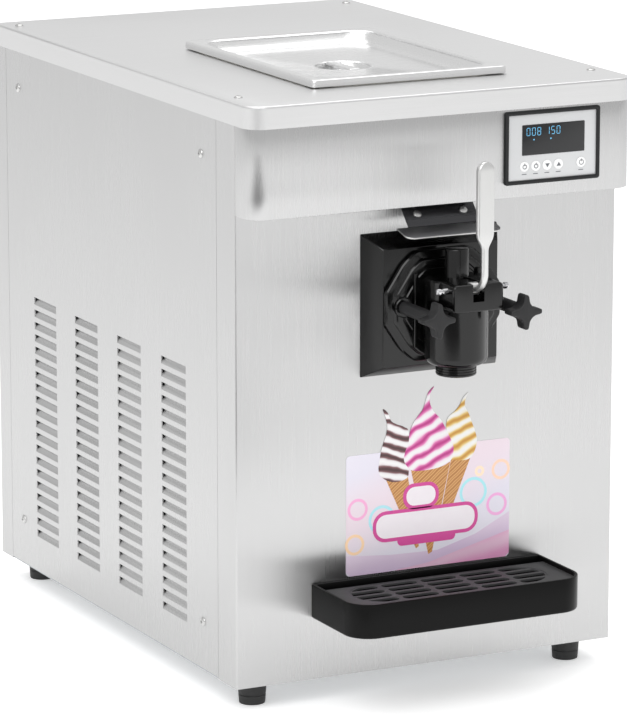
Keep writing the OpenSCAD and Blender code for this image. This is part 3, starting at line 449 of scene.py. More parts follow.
@dataclass(frozen=True)
class Finish:
    """One surface finish.

    Attributes:
        name: Common name of the material and how its surface was made.
        colour: Main colour.
        shade: Second colour of the fine pattern.
        metallic: Share of metal.
        roughness: Middle roughness.
        spread: How far the roughness varies around its middle.
        grain_mm: Size of the fine pattern.
        grain: How the pattern is stretched.
        bump_mm: Height of the pattern.
        cloud_mm: Size of a wide, faint change of gloss, such as from wiping.
        coat: Weight of a clear coat.
        smear: Anisotropy of a brushed metal.
        smear_axis: Axis around which the smear runs.
        glow: Strength of its own light.
        shine: Strength of the mirror-like reflection of a non-metal.
    """

    name: str
    colour: str
    shade: str
    metallic: float = 0.0
    roughness: float = 0.5
    spread: float = 0.06
    grain_mm: float = 0.5
    grain: Grain = Grain.EVEN
    bump_mm: float = 0.01
    cloud_mm: float = 60.0
    coat: float = 0.0
    smear: float = 0.0
    smear_axis: Axis = Axis.Z
    glow: float = 0.0
    shine: float = 0.5

    def build(self) -> bpy.types.Material:
        """Make the material with its nodes, once.

        Returns:
            The material.
        """
        found = bpy.data.materials.get(self.name)
        if found:
            return found
        material = bpy.data.materials.new(self.name)
        material.use_nodes = True
        tree = material.node_tree
        shader = tree.nodes["Principled BSDF"]
        shader.inputs["Metallic"].default_value = self.metallic
        shader.inputs["Coat Weight"].default_value = self.coat
        shader.inputs["Coat Roughness"].default_value = COAT_ROUGHNESS
        shader.inputs["Anisotropic"].default_value = self.smear
        shader.inputs["Specular IOR Level"].default_value = self.shine
        spot = add_node(tree, "ShaderNodeTexCoord")
        per_metre = 1000.0 / self.grain_mm
        fine = add_node(tree, "ShaderNodeMapping", {}, {"Vector": (spot, "Object")})
        fine.inputs["Scale"].default_value = [s * per_metre for s in self.grain.value]
        grain = add_node(tree, "ShaderNodeTexNoise", {}, {"Vector": (fine, "Vector")},
                         Scale=1.0, Detail=2.0)
        cloud = add_node(tree, "ShaderNodeTexNoise", {}, {"Vector": (spot, "Object")},
                         Scale=1000.0 / self.cloud_mm, Detail=3.0)
        tone = add_node(tree, "ShaderNodeMix", {"data_type": "RGBA"}, {"Factor": (grain, "Fac")})
        for socket in tone.inputs:
            if socket.type == "RGBA":
                socket.default_value = linear(self.colour if socket.name == "A" else self.shade)
        both = add_node(tree, "ShaderNodeMath", {"operation": "ADD"},
                        {0: (grain, "Fac"), 1: (cloud, "Fac")})
        rough = add_node(tree, "ShaderNodeMapRange", {}, {"Value": (both, 0)})
        for key, value in (("From Min", NOISE_LOW), ("From Max", NOISE_HIGH),
                           ("To Min", max(self.roughness - self.spread, 0.02)),
                           ("To Max", min(self.roughness + self.spread, 1.0))):
            rough.inputs[key].default_value = value
        bump = add_node(tree, "ShaderNodeBump", {}, {"Height": (grain, "Fac")},
                        Strength=BUMP_STRENGTH, Distance=self.bump_mm * MM)
        link(tree, (tone, 2), shader, "Base Color")
        link(tree, (rough, "Result"), shader, "Roughness")
        link(tree, (bump, "Normal"), shader, "Normal")
        if self.smear:
            around = add_node(tree, "ShaderNodeTangent",
                              {"direction_type": "RADIAL", "axis": self.smear_axis.value})
            link(tree, (around, "Tangent"), shader, "Tangent")
        if self.glow:
            shader.inputs["Emission Color"].default_value = linear(self.colour)
            shader.inputs["Emission Strength"].default_value = self.glow
        return material


def link(tree: bpy.types.NodeTree, source: tuple[bpy.types.Node, object],
         target: bpy.types.Node, socket: object) -> None:
    """Link a node's output to another node's input."""
    tree.links.new(source[0].outputs[source[1]], target.inputs[socket])


def add_node(tree: bpy.types.NodeTree, kind: str, settings: dict[str, object] | None = None,
             links: dict[object, tuple[bpy.types.Node, object]] | None = None,
             **values: float) -> bpy.types.Node:
    """Add a node with its settings, links and input values.

    Args:
        tree: Tree to add to.
        kind: Type of the node.
        settings: Properties of the node.
        links: Outputs that feed its inputs.
        values: Values of its inputs.

    Returns:
        The new node.
    """
    new = tree.nodes.new(kind)
    for key, value in (settings or {}).items():
        setattr(new, key, value)
    for key, value in values.items():
        new.inputs[key].default_value = value
    for key, source in (links or {}).items():
        link(tree, source, new, key)
    return new


@dataclass(frozen=True)
class Metal(Finish):
    """Bare metal, which tints what it mirrors and has no other reflection."""

    metallic: float = 1.0


@dataclass(frozen=True)
class LinedSteel(Metal):
    """Stainless sheet with fine lines in one direction.

    The real lines are about 0.1 mm apart. They are drawn 0.8 mm apart to show at all.
    """

    grain_mm: float = 0.8
    grain: Grain = Grain.ALONG_X
    bump_mm: float = 0.002


# Brushed stainless sheet: the lines run up the walls, so that reflections smear sideways. Its
# grey is the darkest of the sheet's three painted tones: painted shade on the walls.
STEEL_WALL = LinedSteel("brushed_stainless_wall", "#BCBCBC", "#B9B9B9", roughness=0.28,
                        spread=0.02, grain=Grain.UPRIGHT, bump_mm=0.0006, cloud_mm=160.0,
                        smear=1.0)
# The same sheet lying flat, brushed across, with a lighter grey than the walls: painted light
# from above. It also mirrors the light from above, softly.
STEEL_TOP_PAINTED_LIGHT = LinedSteel("brushed_stainless_top_painted_light", "#E0E0E0", "#DADADA", roughness=0.34,
                       spread=0.03, cloud_mm=160.0, smear=0.6, smear_axis=Axis.Y)
# The cover's folded edge, whose lines run along it, with a lighter grey than the walls: a painted
# highlight, so that it looks bright and even.
STEEL_FLANGE_PAINTED_LIGHT = LinedSteel("brushed_stainless_flange_painted_light", "#D4D4D4", "#CFCFCF", roughness=0.32,
                          spread=0.02, cloud_mm=160.0, smear=1.0)
# Bright sheet dulled by wiping, so that it mirrors only broad light and shade; its grey is
# painted darker than bare steel: painted reflection of the hood's dark underside.
LIP_STEEL_PAINTED_REFLECTION = LinedSteel("stainless_lip_painted_reflection", "#8E8E90", "#868688", roughness=0.42,
                       spread=0.04)
FINISHES: dict[str, Finish] = {
    "stainless": STEEL_WALL,
    # Pressed and polished dish of thin stainless sheet: bright, with soft bands on its slopes.
    "lid_steel": LinedSteel("pressed_stainless", "#DEDEDE", "#D7D7D7", roughness=0.28,
                            spread=0.04, cloud_mm=90.0, smear=0.4, smear_axis=Axis.Y),
    # Hot-dip zinc: large crystals of light and darker grey.
    "galvanised": Metal("galvanised_sheet", "#B4B7B9", "#9EA2A5", roughness=0.45, spread=0.10,
                        grain_mm=9.0),
    # Tumbled and plated steel: small bright heads.
    "screw_steel": Metal("bright_screw_steel", "#C6C6C5", "#B6B6B5", roughness=0.26,
                         grain_mm=0.6),
    # Mirror-bright sheet in a dark corner, its grey painted dark: painted reflection of the black
    # head under it and the hood's dark underside.
    "dark_steel": LinedSteel("stainless_painted_dark_reflection", "#4A4A4C", "#434345", roughness=0.16,
                             spread=0.04, bump_mm=0.001, cloud_mm=30.0),
    # Moulded natural rubber filled with soot: black, dull and a little rough.
    "foot_rubber": Finish("moulded_foot_rubber", "#1C1C1C", "#262626", roughness=0.62,
                          spread=0.08, grain_mm=0.7, bump_mm=0.03),
    # Vinyl film printed and laminated: pale and half glossy.
    "label_film": Finish("printed_vinyl", "#F4DCEB", "#F1E6F4", roughness=FILM_ROUGHNESS,
                         spread=0.04, grain_mm=60.0),
    # ABS from a polished mould: black with a soft highlight on its edges.
    "bezel_plastic": Finish("moulded_bezel_abs", "#121314", "#18191A", roughness=0.30,
                            spread=0.05, shine=0.3),
    # Polyester film printed with silver ink: a fine, even sparkle.
    "faceplate_silver": Finish("silver_printed_film", "#C8C9CA", "#C2C3C4", metallic=0.3,
                               roughness=0.40, spread=0.04, grain_mm=0.6, bump_mm=0.002),
    # Smoked acrylic: nearly black and as smooth as glass.
    "display_black": Finish("smoked_display_acrylic", "#101114", "#0B0C0F", roughness=0.12,
                            spread=0.03, grain_mm=20.0, bump_mm=0.0),
    # Glass fibre board under green solder mask: a low satin gloss.
    "board_green": Finish("solder_mask_board", "#1E5A36", "#174A2B", roughness=0.38,
                          grain_mm=3.0),
    # Moulded silicone rubber: soft white without a sharp highlight.
    "button_white": Finish("moulded_key_silicone", "#EDEDED", "#E2E2E2", roughness=0.48,
                           spread=0.05),
    # ABS from a lightly textured mould: satin black.
    "surround_plastic": Finish("moulded_surround_abs", "#131313", "#181818", roughness=0.34,
                               spread=0.05, grain_mm=0.6, bump_mm=0.012, shine=0.35),
    # Glossy injection-moulded polycarbonate, polished by its mould: deep black, narrow lights.
    "head_plastic": Finish("polished_black_polycarbonate", "#030303", "#060606",
                           roughness=0.16, spread=0.04, grain_mm=0.9, bump_mm=0.003,
                           shine=0.4),
    # Glass-filled nylon from a spark-eroded mould: dull charcoal with a fine grit.
    "knob_plastic": Finish("matte_knob_nylon", "#1B1B1C", "#222223", roughness=0.52,
                           grain_mm=0.45, bump_mm=0.02, shine=0.35),
    # Moulded silicone in the red-brown of heat-proof seals.
    "seal_rubber": Finish("silicone_seal", "#8E3A2C", "#9A4636", grain_mm=0.6),
    # Zinc casting, satin plated: pale, with lights that fade softly.
    "lever_satin": Finish("satin_lever_casting", "#CDCDCC", "#C4C4C3", metallic=0.85,
                          roughness=0.32, spread=0.05, grain_mm=0.8, bump_mm=0.006),
    # Turned steel, chromium plated: a small sharp glint.
    "pin_chrome": Metal("turned_chrome", "#C9C9CB", "#BDBDBF", roughness=0.10, spread=0.03,
                        grain_mm=0.4),
    # ABS from a satin mould: black that stays dark under the light from above.
    "tray_plastic": Finish("moulded_tray_abs", "#080808", "#0B0B0B", roughness=0.32,
                           spread=0.05, grain_mm=0.6, bump_mm=0.006, shine=0.12),
    # ABS from a coarser mould: dark grey and dull.
    "grille_plastic": Finish("moulded_grille_abs", "#3C3C3D", "#454546", roughness=0.46,
                             grain_mm=0.6, bump_mm=0.015, shine=0.3),
    # Food-grade silicone: off-white and soft.
    "gasket_white": Finish("food_silicone", "#E6E4DC", "#DAD8D0", roughness=0.45, spread=0.05,
                           grain_mm=0.8),
    # Drawn stainless tube: bright, with a faint pattern from the die.
    "barrel_steel": Metal("drawn_stainless", "#CFCFCE", "#BDBDBC", roughness=0.3,
                          grain_mm=0.8),
    # Drawn copper tube: warm, with darker stains from soldering.
    "copper": Metal("drawn_copper", "#C98659", "#B4714A", roughness=0.3, spread=0.1,
                    grain_mm=6.0),
    # Poured polyurethane foam: yellow, matt and full of small pits.
    "foam": Finish("poured_foam", "#E3D8AE", "#CFC295", roughness=0.85, spread=0.05,
                   grain_mm=3.0, bump_mm=0.4),
    # Machined acetal: milky white and slightly waxy.
    "blade_plastic": Finish("scraper_acetal", "#EEEDE8", "#E2E1DB", roughness=0.42,
                            spread=0.05, grain_mm=0.8),
    # Enamelled casting with the faint orange skin of spray paint.
    "cast_grey": Finish("grey_enamel_casting", "#6E747A", "#62686E", roughness=0.42,
                        spread=0.08, grain_mm=1.6, bump_mm=0.05),
    # Turned aluminium: pale grey with a soft metal gloss.
    "pulley_metal": Metal("turned_aluminium", "#C2C3C5", "#ADAFB1", roughness=0.32,
                          spread=0.08, grain_mm=0.6),
    # Ribbed rubber belt: black and dusty.
    "belt_rubber": Finish("ribbed_belt_rubber", "#1B1B1B", "#252525", roughness=0.7,
                          grain_mm=1.5, bump_mm=0.1),
    # Baked enamel on steel: black under a thin clear skin.
    "black_enamel": Finish("black_enamel", "#171717", "#1F1F1F", roughness=0.26, grain_mm=1.6,
                           bump_mm=0.02, coat=0.3),
    # Rolled aluminium as it leaves the mill: pale and a little streaky.
    "fin_aluminium": Metal("mill_aluminium", "#CDCED0", "#BBBCBE", roughness=0.36,
                           spread=0.08, grain_mm=1.2),
    # Moulded nylon: dull black.
    "gland_black": Finish("moulded_gland_nylon", "#1C1C1D", "#262627", roughness=0.48,
                          grain_mm=0.6),
}


def dress(piece: bpy.types.Object, slot: str, body: Body, nodes: Sequence[str] = (),
          finish: Finish | None = None) -> bpy.types.Object:
    """Give a piece its finish, its body and the nodes it stands for.

    Args:
        piece: New piece.
        slot: The record's material slot.
        body: Body that it rides on.
        nodes: CAD nodes that it replaces.
        finish: Finish that differs from the slot's own.

    Returns:
        The same piece.
    """
    piece.data.materials.clear()
    piece.data.materials.append((finish or FINISHES[slot]).build())
    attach(piece, body.value)
    if nodes:
        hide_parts(*nodes)
    log.info("%s: %d faces on %s", piece.name, len(piece.data.polygons), body.value)
    return piece


@dataclass(frozen=True)
class Print:
    """Printed ink on the label: soft bands of a few colours that bend like piped cream.

    Attributes:
        name: Name of the print.
        inks: Colours from one edge of a band to the next.
        band_mm: Width of one band.
        turn: Angle of the bands against the label's width, in degrees.
        bend: How strongly the bands wander.
        soft_mm: Size of their wandering.
        density: Share of light that the film sends back.
    """

    name: str
    inks: tuple[str, ...]
    band_mm: float
    turn: float
    bend: float = 0.0
    soft_mm: float = 20.0
    density: float = 0.78

    def build(self) -> bpy.types.Material:
        """Make the material with its nodes, once.

        Returns:
            The material.
        """
        found = bpy.data.materials.get(self.name)
        if found:
            return found
        material = bpy.data.materials.new(self.name)
        material.use_nodes = True
        tree = material.node_tree
        shader = tree.nodes["Principled BSDF"]
        shader.inputs["Roughness"].default_value = FILM_ROUGHNESS
        spot = add_node(tree, "ShaderNodeTexCoord")
        slanted = add_node(tree, "ShaderNodeMapping", {}, {"Vector": (spot, "Object")})
        slanted.inputs["Rotation"].default_value = (0.0, math.radians(self.turn), 0.0)
        per_metre = 1000.0 / self.band_mm
        band = add_node(tree, "ShaderNodeTexWave",
                        {"wave_type": "BANDS", "bands_direction": "Z", "wave_profile": "SIN"},
                        {"Vector": (slanted, "Vector")},
                        Scale=2 * math.pi * per_metre / WAVE_TURN,
                        Distortion=self.bend, Detail=1.0)
        band.inputs["Detail Scale"].default_value = WANDER * self.band_mm / self.soft_mm
        ramp = add_node(tree, "ShaderNodeValToRGB", {}, {"Fac": (band, "Fac")})
        stops = ramp.color_ramp.elements
        last = len(self.inks) - 1
        for k in range(1, last):
            stops.new(k / last)
        for stop, ink in zip(stops, self.inks):
            stop.color = [self.density * c for c in linear(ink)[:3]] + [1.0]
        link(tree, (ramp, "Color"), shader, "Base Color")
        return material


# ---------------------------------------------------------------- cabinet


def bowed(half: float, front: float, back: float, radius: float, steps: int = 8) -> list[Point]:
    """Outline in X and Y with square back corners and rounded front ones.

    Args:
        half: Half width.
        front: Y of the front edge.
        back: Y of the back edge.
        radius: Radius of the front corners.
        steps: Number of steps in each corner.

    Returns:
        Points in order.
    """
    points = [(half, back), (-half, back)]
    for side, start in ((-1, 180), (1, 270)):
        for j in range(steps + 1):
            a = math.radians(start + 90 * j / steps)
            points.append((side * (half - radius) + radius * math.cos(a),
                           front + radius + radius * math.sin(a)))
    return points


def tilted(y: float, z: float, along: Point, out: Point) -> Layer:
    """Layer on a slanted plane: points are X and a way along, and the layer's height is out.

    Args:
        y: Where the plane starts.
        z: Height where the plane starts.
        along: Direction in Y and Z of the second coordinate.
        out: Direction in Y and Z of the height.

    Returns:
        Function that turns an outline into a ring.
    """
    def layer(points: Iterable[Point], h: float) -> Ring:
        """Ring at height h over the plane."""
        return [tuple(place(x, y + along[0] * u + out[0] * h, z + along[1] * u + out[1] * h))
                for x, u in points]
    return layer


def cross_recess(piece: bpy.types.Object, layer: Layer, depth: float, top: float,
                 middle: Point = (0.0, 0.0)) -> None:
    """Cut a cross recess into a screw's head.

    Args:
        piece: The head.
        layer: Function that turns an outline into a ring square to the screw.
        depth: Depth of the recess.
        top: Where the head's top is.
        middle: Middle of the head.
    """
    reach, width = 4.4, 0.9
    for w, d in ((reach, width), (width, reach)):
        arm = rectangle(w, d, 0.1, middle, 1)
        cut(piece, loft("cross", [layer(arm, top - depth), layer(arm, top + 1.0)]))


@dataclass
class Cabinet:
    """Sheet-metal shell: the hood, the top cover, the bent front panel, screws and feet."""

    half: float = 200.0
    depth: float = 562.0
    hood_out: float = 34.0
    hood_low: float = 448.5
    flange_low: float = 532.0
    top: float = 553.0
    corner: float = 18.0
    sheet: float = 1.2
    wrap: float = 39.0
    gap: float = 0.2
    hopper_width: float = 188.0
    hopper_length: float = 264.0
    hopper_corner: float = 25.0
    hopper_y: float = 177.0
    side_screws: tuple[Point, ...] = ((72.0, 48.0), (72.0, 495.0), (503.0, 48.0), (503.0, 495.0))
    cover_screws: tuple[Point, ...] = ((185.0, 23.0), (185.0, 534.0))
    feet: tuple[Point, ...] = ((169.0, 31.0), (169.0, 531.0))
    gland: Point = (130.0, 42.0)

    def build(self) -> None:
        """Build every piece of the shell."""
        self.build_hood()
        self.build_cover()
        self.build_front()
        self.build_screws()
        self.build_feet()
        self.build_gland()

    def plan(self, grow: float) -> list[Point]:
        """Plan of hood and cabinet together, grown all round."""
        return bowed(self.half + grow, -self.hood_out - grow, self.depth + grow,
                     self.corner + grow, 14)

    def build_hood(self) -> None:
        """Deep hood over the front, one bent sheet with rounded corners."""
        outline = bowed(self.half, -self.hood_out, -self.gap, self.corner, 14)
        hood = slab("hood_shell", outline, level, self.hood_low, self.top - 1.4, 0.9)
        dress(hood, "stainless", Body.CABINET, ["hood"])

    def build_cover(self) -> None:
        """Top cover: a flat sheet with a flange all round and the hopper's opening."""
        top, low = self.top, self.flange_low
        inside, outside = self.gap, self.gap + self.sheet
        steps = [(inside, top - self.sheet), (inside, low), (outside, low),
                 (outside, top - 2.1), (outside, top - 1.5), (outside - 0.25, top - 0.7),
                 (outside - 0.8, top - 0.2), (outside - 1.6, top)]
        cover = loft("top_cover_sheet", [level(self.plan(grow), z) for grow, z in steps])
        hole = rectangle(self.hopper_width, self.hopper_length, self.hopper_corner,
                         (0.0, self.hopper_y))
        cut(cover, loft("hopper_hole", [level(hole, top - 6), level(hole, top + 6)]))
        smooth(cover)
        dress(cover, "stainless", Body.CABINET, ["top_cover"])
        # The cover takes lit copies of the wall steel: the flange a lighter grey and the upward
        # faces a lighter one still, both painted light.
        cover.data.materials[0] = STEEL_FLANGE_PAINTED_LIGHT.build()
        cover.data.materials.append(STEEL_TOP_PAINTED_LIGHT.build())
        # Faces that look up take the top's lighter grey: painted light from above.
        for face in cover.data.polygons:
            face.material_index = 1 if face.normal.z > 0.9 else 0

    def build_front(self) -> None:
        """Front panel, bent back on both sides, with the slots for the tray's hooks."""
        r, w, t, h = 1.8, self.half, self.sheet, self.wrap
        points = [(w, h)]
        for side, start in ((1, 0), (-1, 270)):
            for j in range(5):
                a = math.radians(start - 90 * j / 4)
                points.append((side * (w - r) + r * math.cos(a), r + r * math.sin(a)))
        points += [(-w, h), (-w + t, h), (-w + t, t), (w - t, t), (w - t, h)]
        panel = slab("front_sheet", points, level, 0.0, self.top - t)
        for x in (-HOOK_X, HOOK_X):
            slot = rectangle(31.0, 4.0, 0.6, (x, HOOK_Z), 2)
            cut(panel, loft("hook_slot", [facing(slot, -2.0), facing(slot, 4.0)]))
        dress(smooth(panel), "stainless", Body.CABINET, ["front_panel"])

    def build_screws(self) -> None:
        """Truss-head screws in the side panels and pan-head screws in the cover."""
        side, top = self.half, self.top
        truss = [(4.5, side - 0.5), (4.5, side + 0.4), (4.1, side + 1.1), (3.1, side + 1.75),
                 (1.7, side + 2.1), (0.0, side + 2.2)]
        pan = [(4.2, top - 0.7), (4.2, top + 0.3), (3.7, top + 1.0), (2.5, top + 1.5),
               (0.0, top + 1.7)]
        self.screw_set("side_truss_screws", "side_screws", self.side_screws, truss, Axis.X, 1.0)
        self.screw_set("cover_pan_screws", "cover_screws", self.cover_screws, pan, Axis.Z, 0.9)

    def screw_set(self, name: str, node: str, spots: Sequence[Point],
                  profile: Sequence[Point], axis: Axis, recess: float) -> None:
        """Model a screw head at each spot, and its twin on the other side.

        Args:
            name: Name of the new piece.
            node: CAD node that it replaces.
            spots: Places of the heads, square to the axis.
            profile: Profile of a head, which ends at its top.
            axis: Axis of the screws.
            recess: Depth of the cross recess.
        """
        layer = sideways if axis is Axis.X else level
        heads = []
        for a, b in spots:
            middle = (0.0, a, b) if axis is Axis.X else (a, b, 0.0)
            head = turned("screw_head", profile, axis, middle, 24)
            cross_recess(head, layer, recess, profile[-1][1], (a, b))
            heads += [head, mirrored(head)]
        dress(smooth(join(heads, name)), "screw_steel", Body.CABINET, [node])

    def build_feet(self) -> None:
        """Tapered rubber feet with two moulded grooves."""
        profile = [(11.2, -24.0), (12.2, -23.7), (12.5, -22.8), (13.0, -15.6), (12.5, -15.2),
                   (12.5, -14.4), (13.1, -14.0), (13.5, -7.6), (14.1, -4.4), (14.2, -0.8),
                   (13.6, 0.0)]
        feet = []
        for x, y in self.feet:
            foot = turned("foot", profile, Axis.Z, (x, y, 0.0), 40)
            feet += [foot, mirrored(foot)]
        dress(smooth(join(feet, "rubber_feet")), "foot_rubber", Body.CABINET, ["feet"])

    def build_gland(self) -> None:
        """Cable gland at the rear: a locknut, a dome nut and the bore for the cable."""
        y = self.depth
        nut = slab("gland_nut", circle(13.0, 6, self.gland), facing, y, y + 6.0, 0.8)
        dome = turned("gland_dome", [(10.6, y + 5.5), (10.6, y + 8.0), (10.2, y + 11.0),
                                     (8.4, y + 13.4), (6.6, y + 14.0), (4.2, y + 14.0),
                                     (4.2, y + 2.0)], Axis.Y,
                      (self.gland[0], 0.0, self.gland[1]), 40)
        dress(smooth(join([nut, dome], "cable_gland_nuts")), "gland_black", Body.CABINET,
              ["cable_gland"])


@dataclass
class Canopy:
    """Bent splash plate under the hood: a slanted web, a rounded lip and two screws."""

    web_half: float = 37.5
    lip_half: float = 50.0
    sheet: float = 1.5
    start: Point = (-13.0, 448.5)
    fold: Point = (-31.0, 430.0)
    lip: float = 24.0
    tilt: float = 14.0
    screw_x: float = 24.0

    def build(self) -> None:
        """Build the plate and its screws."""
        dy, dz = self.fold[0] - self.start[0], self.fold[1] - self.start[1]
        length = math.hypot(dy, dz)
        along, out = (dy / length, dz / length), (dz / length, -dy / length)
        web_layer = tilted(*self.start, along, out)
        web = slab("web", rectangle(2 * self.web_half, length + 1.0, 0.6, (0.0, length / 2), 2),
                   web_layer, -self.sheet, 0.0, 0.3)
        flat, rise = math.cos(math.radians(self.tilt)), math.sin(math.radians(self.tilt))
        lip_layer = tilted(self.fold[0] + 0.5, self.fold[1] - 0.5, (flat, rise), (-rise, flat))
        lip = slab("lip", bowed(self.lip_half, -self.lip, 0.0, 9.0), lip_layer, -self.sheet, 0.0,
                   0.45, 3)
        plate = smooth(join([web, lip], "splash_plate"))
        # The web takes the darkened steel: painted reflection of the black head and the hood's
        # underside.
        dress(plate, "dark_steel", Body.CABINET, ["canopy"])
        # The bright screw steel goes on the lip's cut edges: a painted highlight.
        plate.data.materials.append(FINISHES["screw_steel"].build())
        # The lip's flat faces take a darker grey: painted reflection of the hood's underside.
        plate.data.materials.append(LIP_STEEL_PAINTED_REFLECTION.build())
        # Lip faces: the flat ones take the lip's grey, a painted reflection; the cut edges take
        # the bright screw steel, a painted highlight.
        rim_y = place(0.0, self.fold[0] - 1.5, 0.0).y
        for face in plate.data.polygons:
            if face.center.y < rim_y:
                face.material_index = 2 if abs(face.normal.z) > 0.9 else 1
        sizes = ((4.2, -0.4), (4.2, 0.5), (3.8, 1.3), (2.6, 1.9), (0.01, 2.2))
        heads = [loft("canopy_head", [web_layer(circle(r, 24, (x, length / 2)), h)
                                      for r, h in sizes])
                 for x in (-self.screw_x, self.screw_x)]
        dress(smooth(join(heads, "canopy_screw_heads")), "screw_steel", Body.CABINET,
              ["canopy_screws"])


@dataclass
class HopperLid:
    """Pressed lid: a raised rim, a sunk floor and a round dish with its finger bar."""

    y: float = 177.0
    width: float = 205.0
    length: float = 281.0
    top: float = 561.0
    floor: float = 549.0

    def ring(self, shrink: float, radius: float, z: float) -> Ring:
        """Rounded rectangle around the lid's middle."""
        return level(rectangle(self.width - 2 * shrink, self.length - 2 * shrink, radius,
                               (0.0, self.y)), z)

    def disc(self, radius: float, z: float) -> Ring:
        """Circle around the lid's middle with as many points as a rectangle."""
        return level(rectangle(2 * radius, 2 * radius, radius, (0.0, self.y)), z)

    def build(self) -> None:
        """Build the lid and its bar."""
        top, floor = self.top, self.floor
        rings = [
            self.disc(25.5, floor - 11.0), self.disc(27.0, floor - 9.8),
            self.disc(27.0, floor - 1.2), self.ring(13.5, 19.5, floor - 1.2),
            self.ring(12.0, 21.5, floor + 0.5), self.ring(12.0, 21.5, top - 1.2),
            self.ring(2.2, 3.8, top - 1.2), self.ring(1.2, 4.0, top - 6.8),
            self.ring(0.0, 5.0, top - 6.8), self.ring(0.0, 5.0, top - 2.0),
            self.ring(0.25, 4.9, top - 1.0), self.ring(0.9, 4.6, top - 0.3),
            self.ring(1.9, 4.2, top), self.ring(8.6, 25.0, top),
            self.ring(9.6, 24.6, top - 0.3), self.ring(10.8, 24.2, top - 1.1),
            self.ring(12.2, 24.0, top - 2.8), self.ring(15.4, 23.6, floor + 4.6),
            self.ring(18.4, 23.0, floor + 2.2), self.ring(21.6, 22.0, floor + 0.7),
            self.ring(25.0, 21.0, floor), self.disc(30.0, floor), self.disc(28.2, floor - 0.5),
            self.disc(27.0, floor - 1.8), self.disc(26.2, floor - 7.4),
            self.disc(25.2, floor - 9.0), self.disc(23.0, floor - 9.7),
        ]
        lid = loft("pressed_lid", rings)
        dress(smooth(lid, 50.0), "lid_steel", Body.LID, ["hopper_lid"])
        bar = slab("lid_bar", rectangle(11.0, 52.0, 1.2, (0.0, self.y), 3), level, floor - 3.0,
                   floor + 0.2, 1.0, 3)
        dress(bar, "lid_steel", Body.LID, ["lid_handle"])


# ---------------------------------------------------------------- dispensing head


# Quarter of the head plate's outline, an octagon with rounded corners, from the middle of its
# right side to the middle of its top.
PLATE: list[Point] = [(60, 0), (60, 13.5), (59.6, 15.3), (58.5, 17.4), (44.5, 38.0), (42.5, 40.6),
                      (39.5, 43.6), (33.0, 49.2), (30.0, 51.0), (27.0, 52.0), (0, 52.0)]


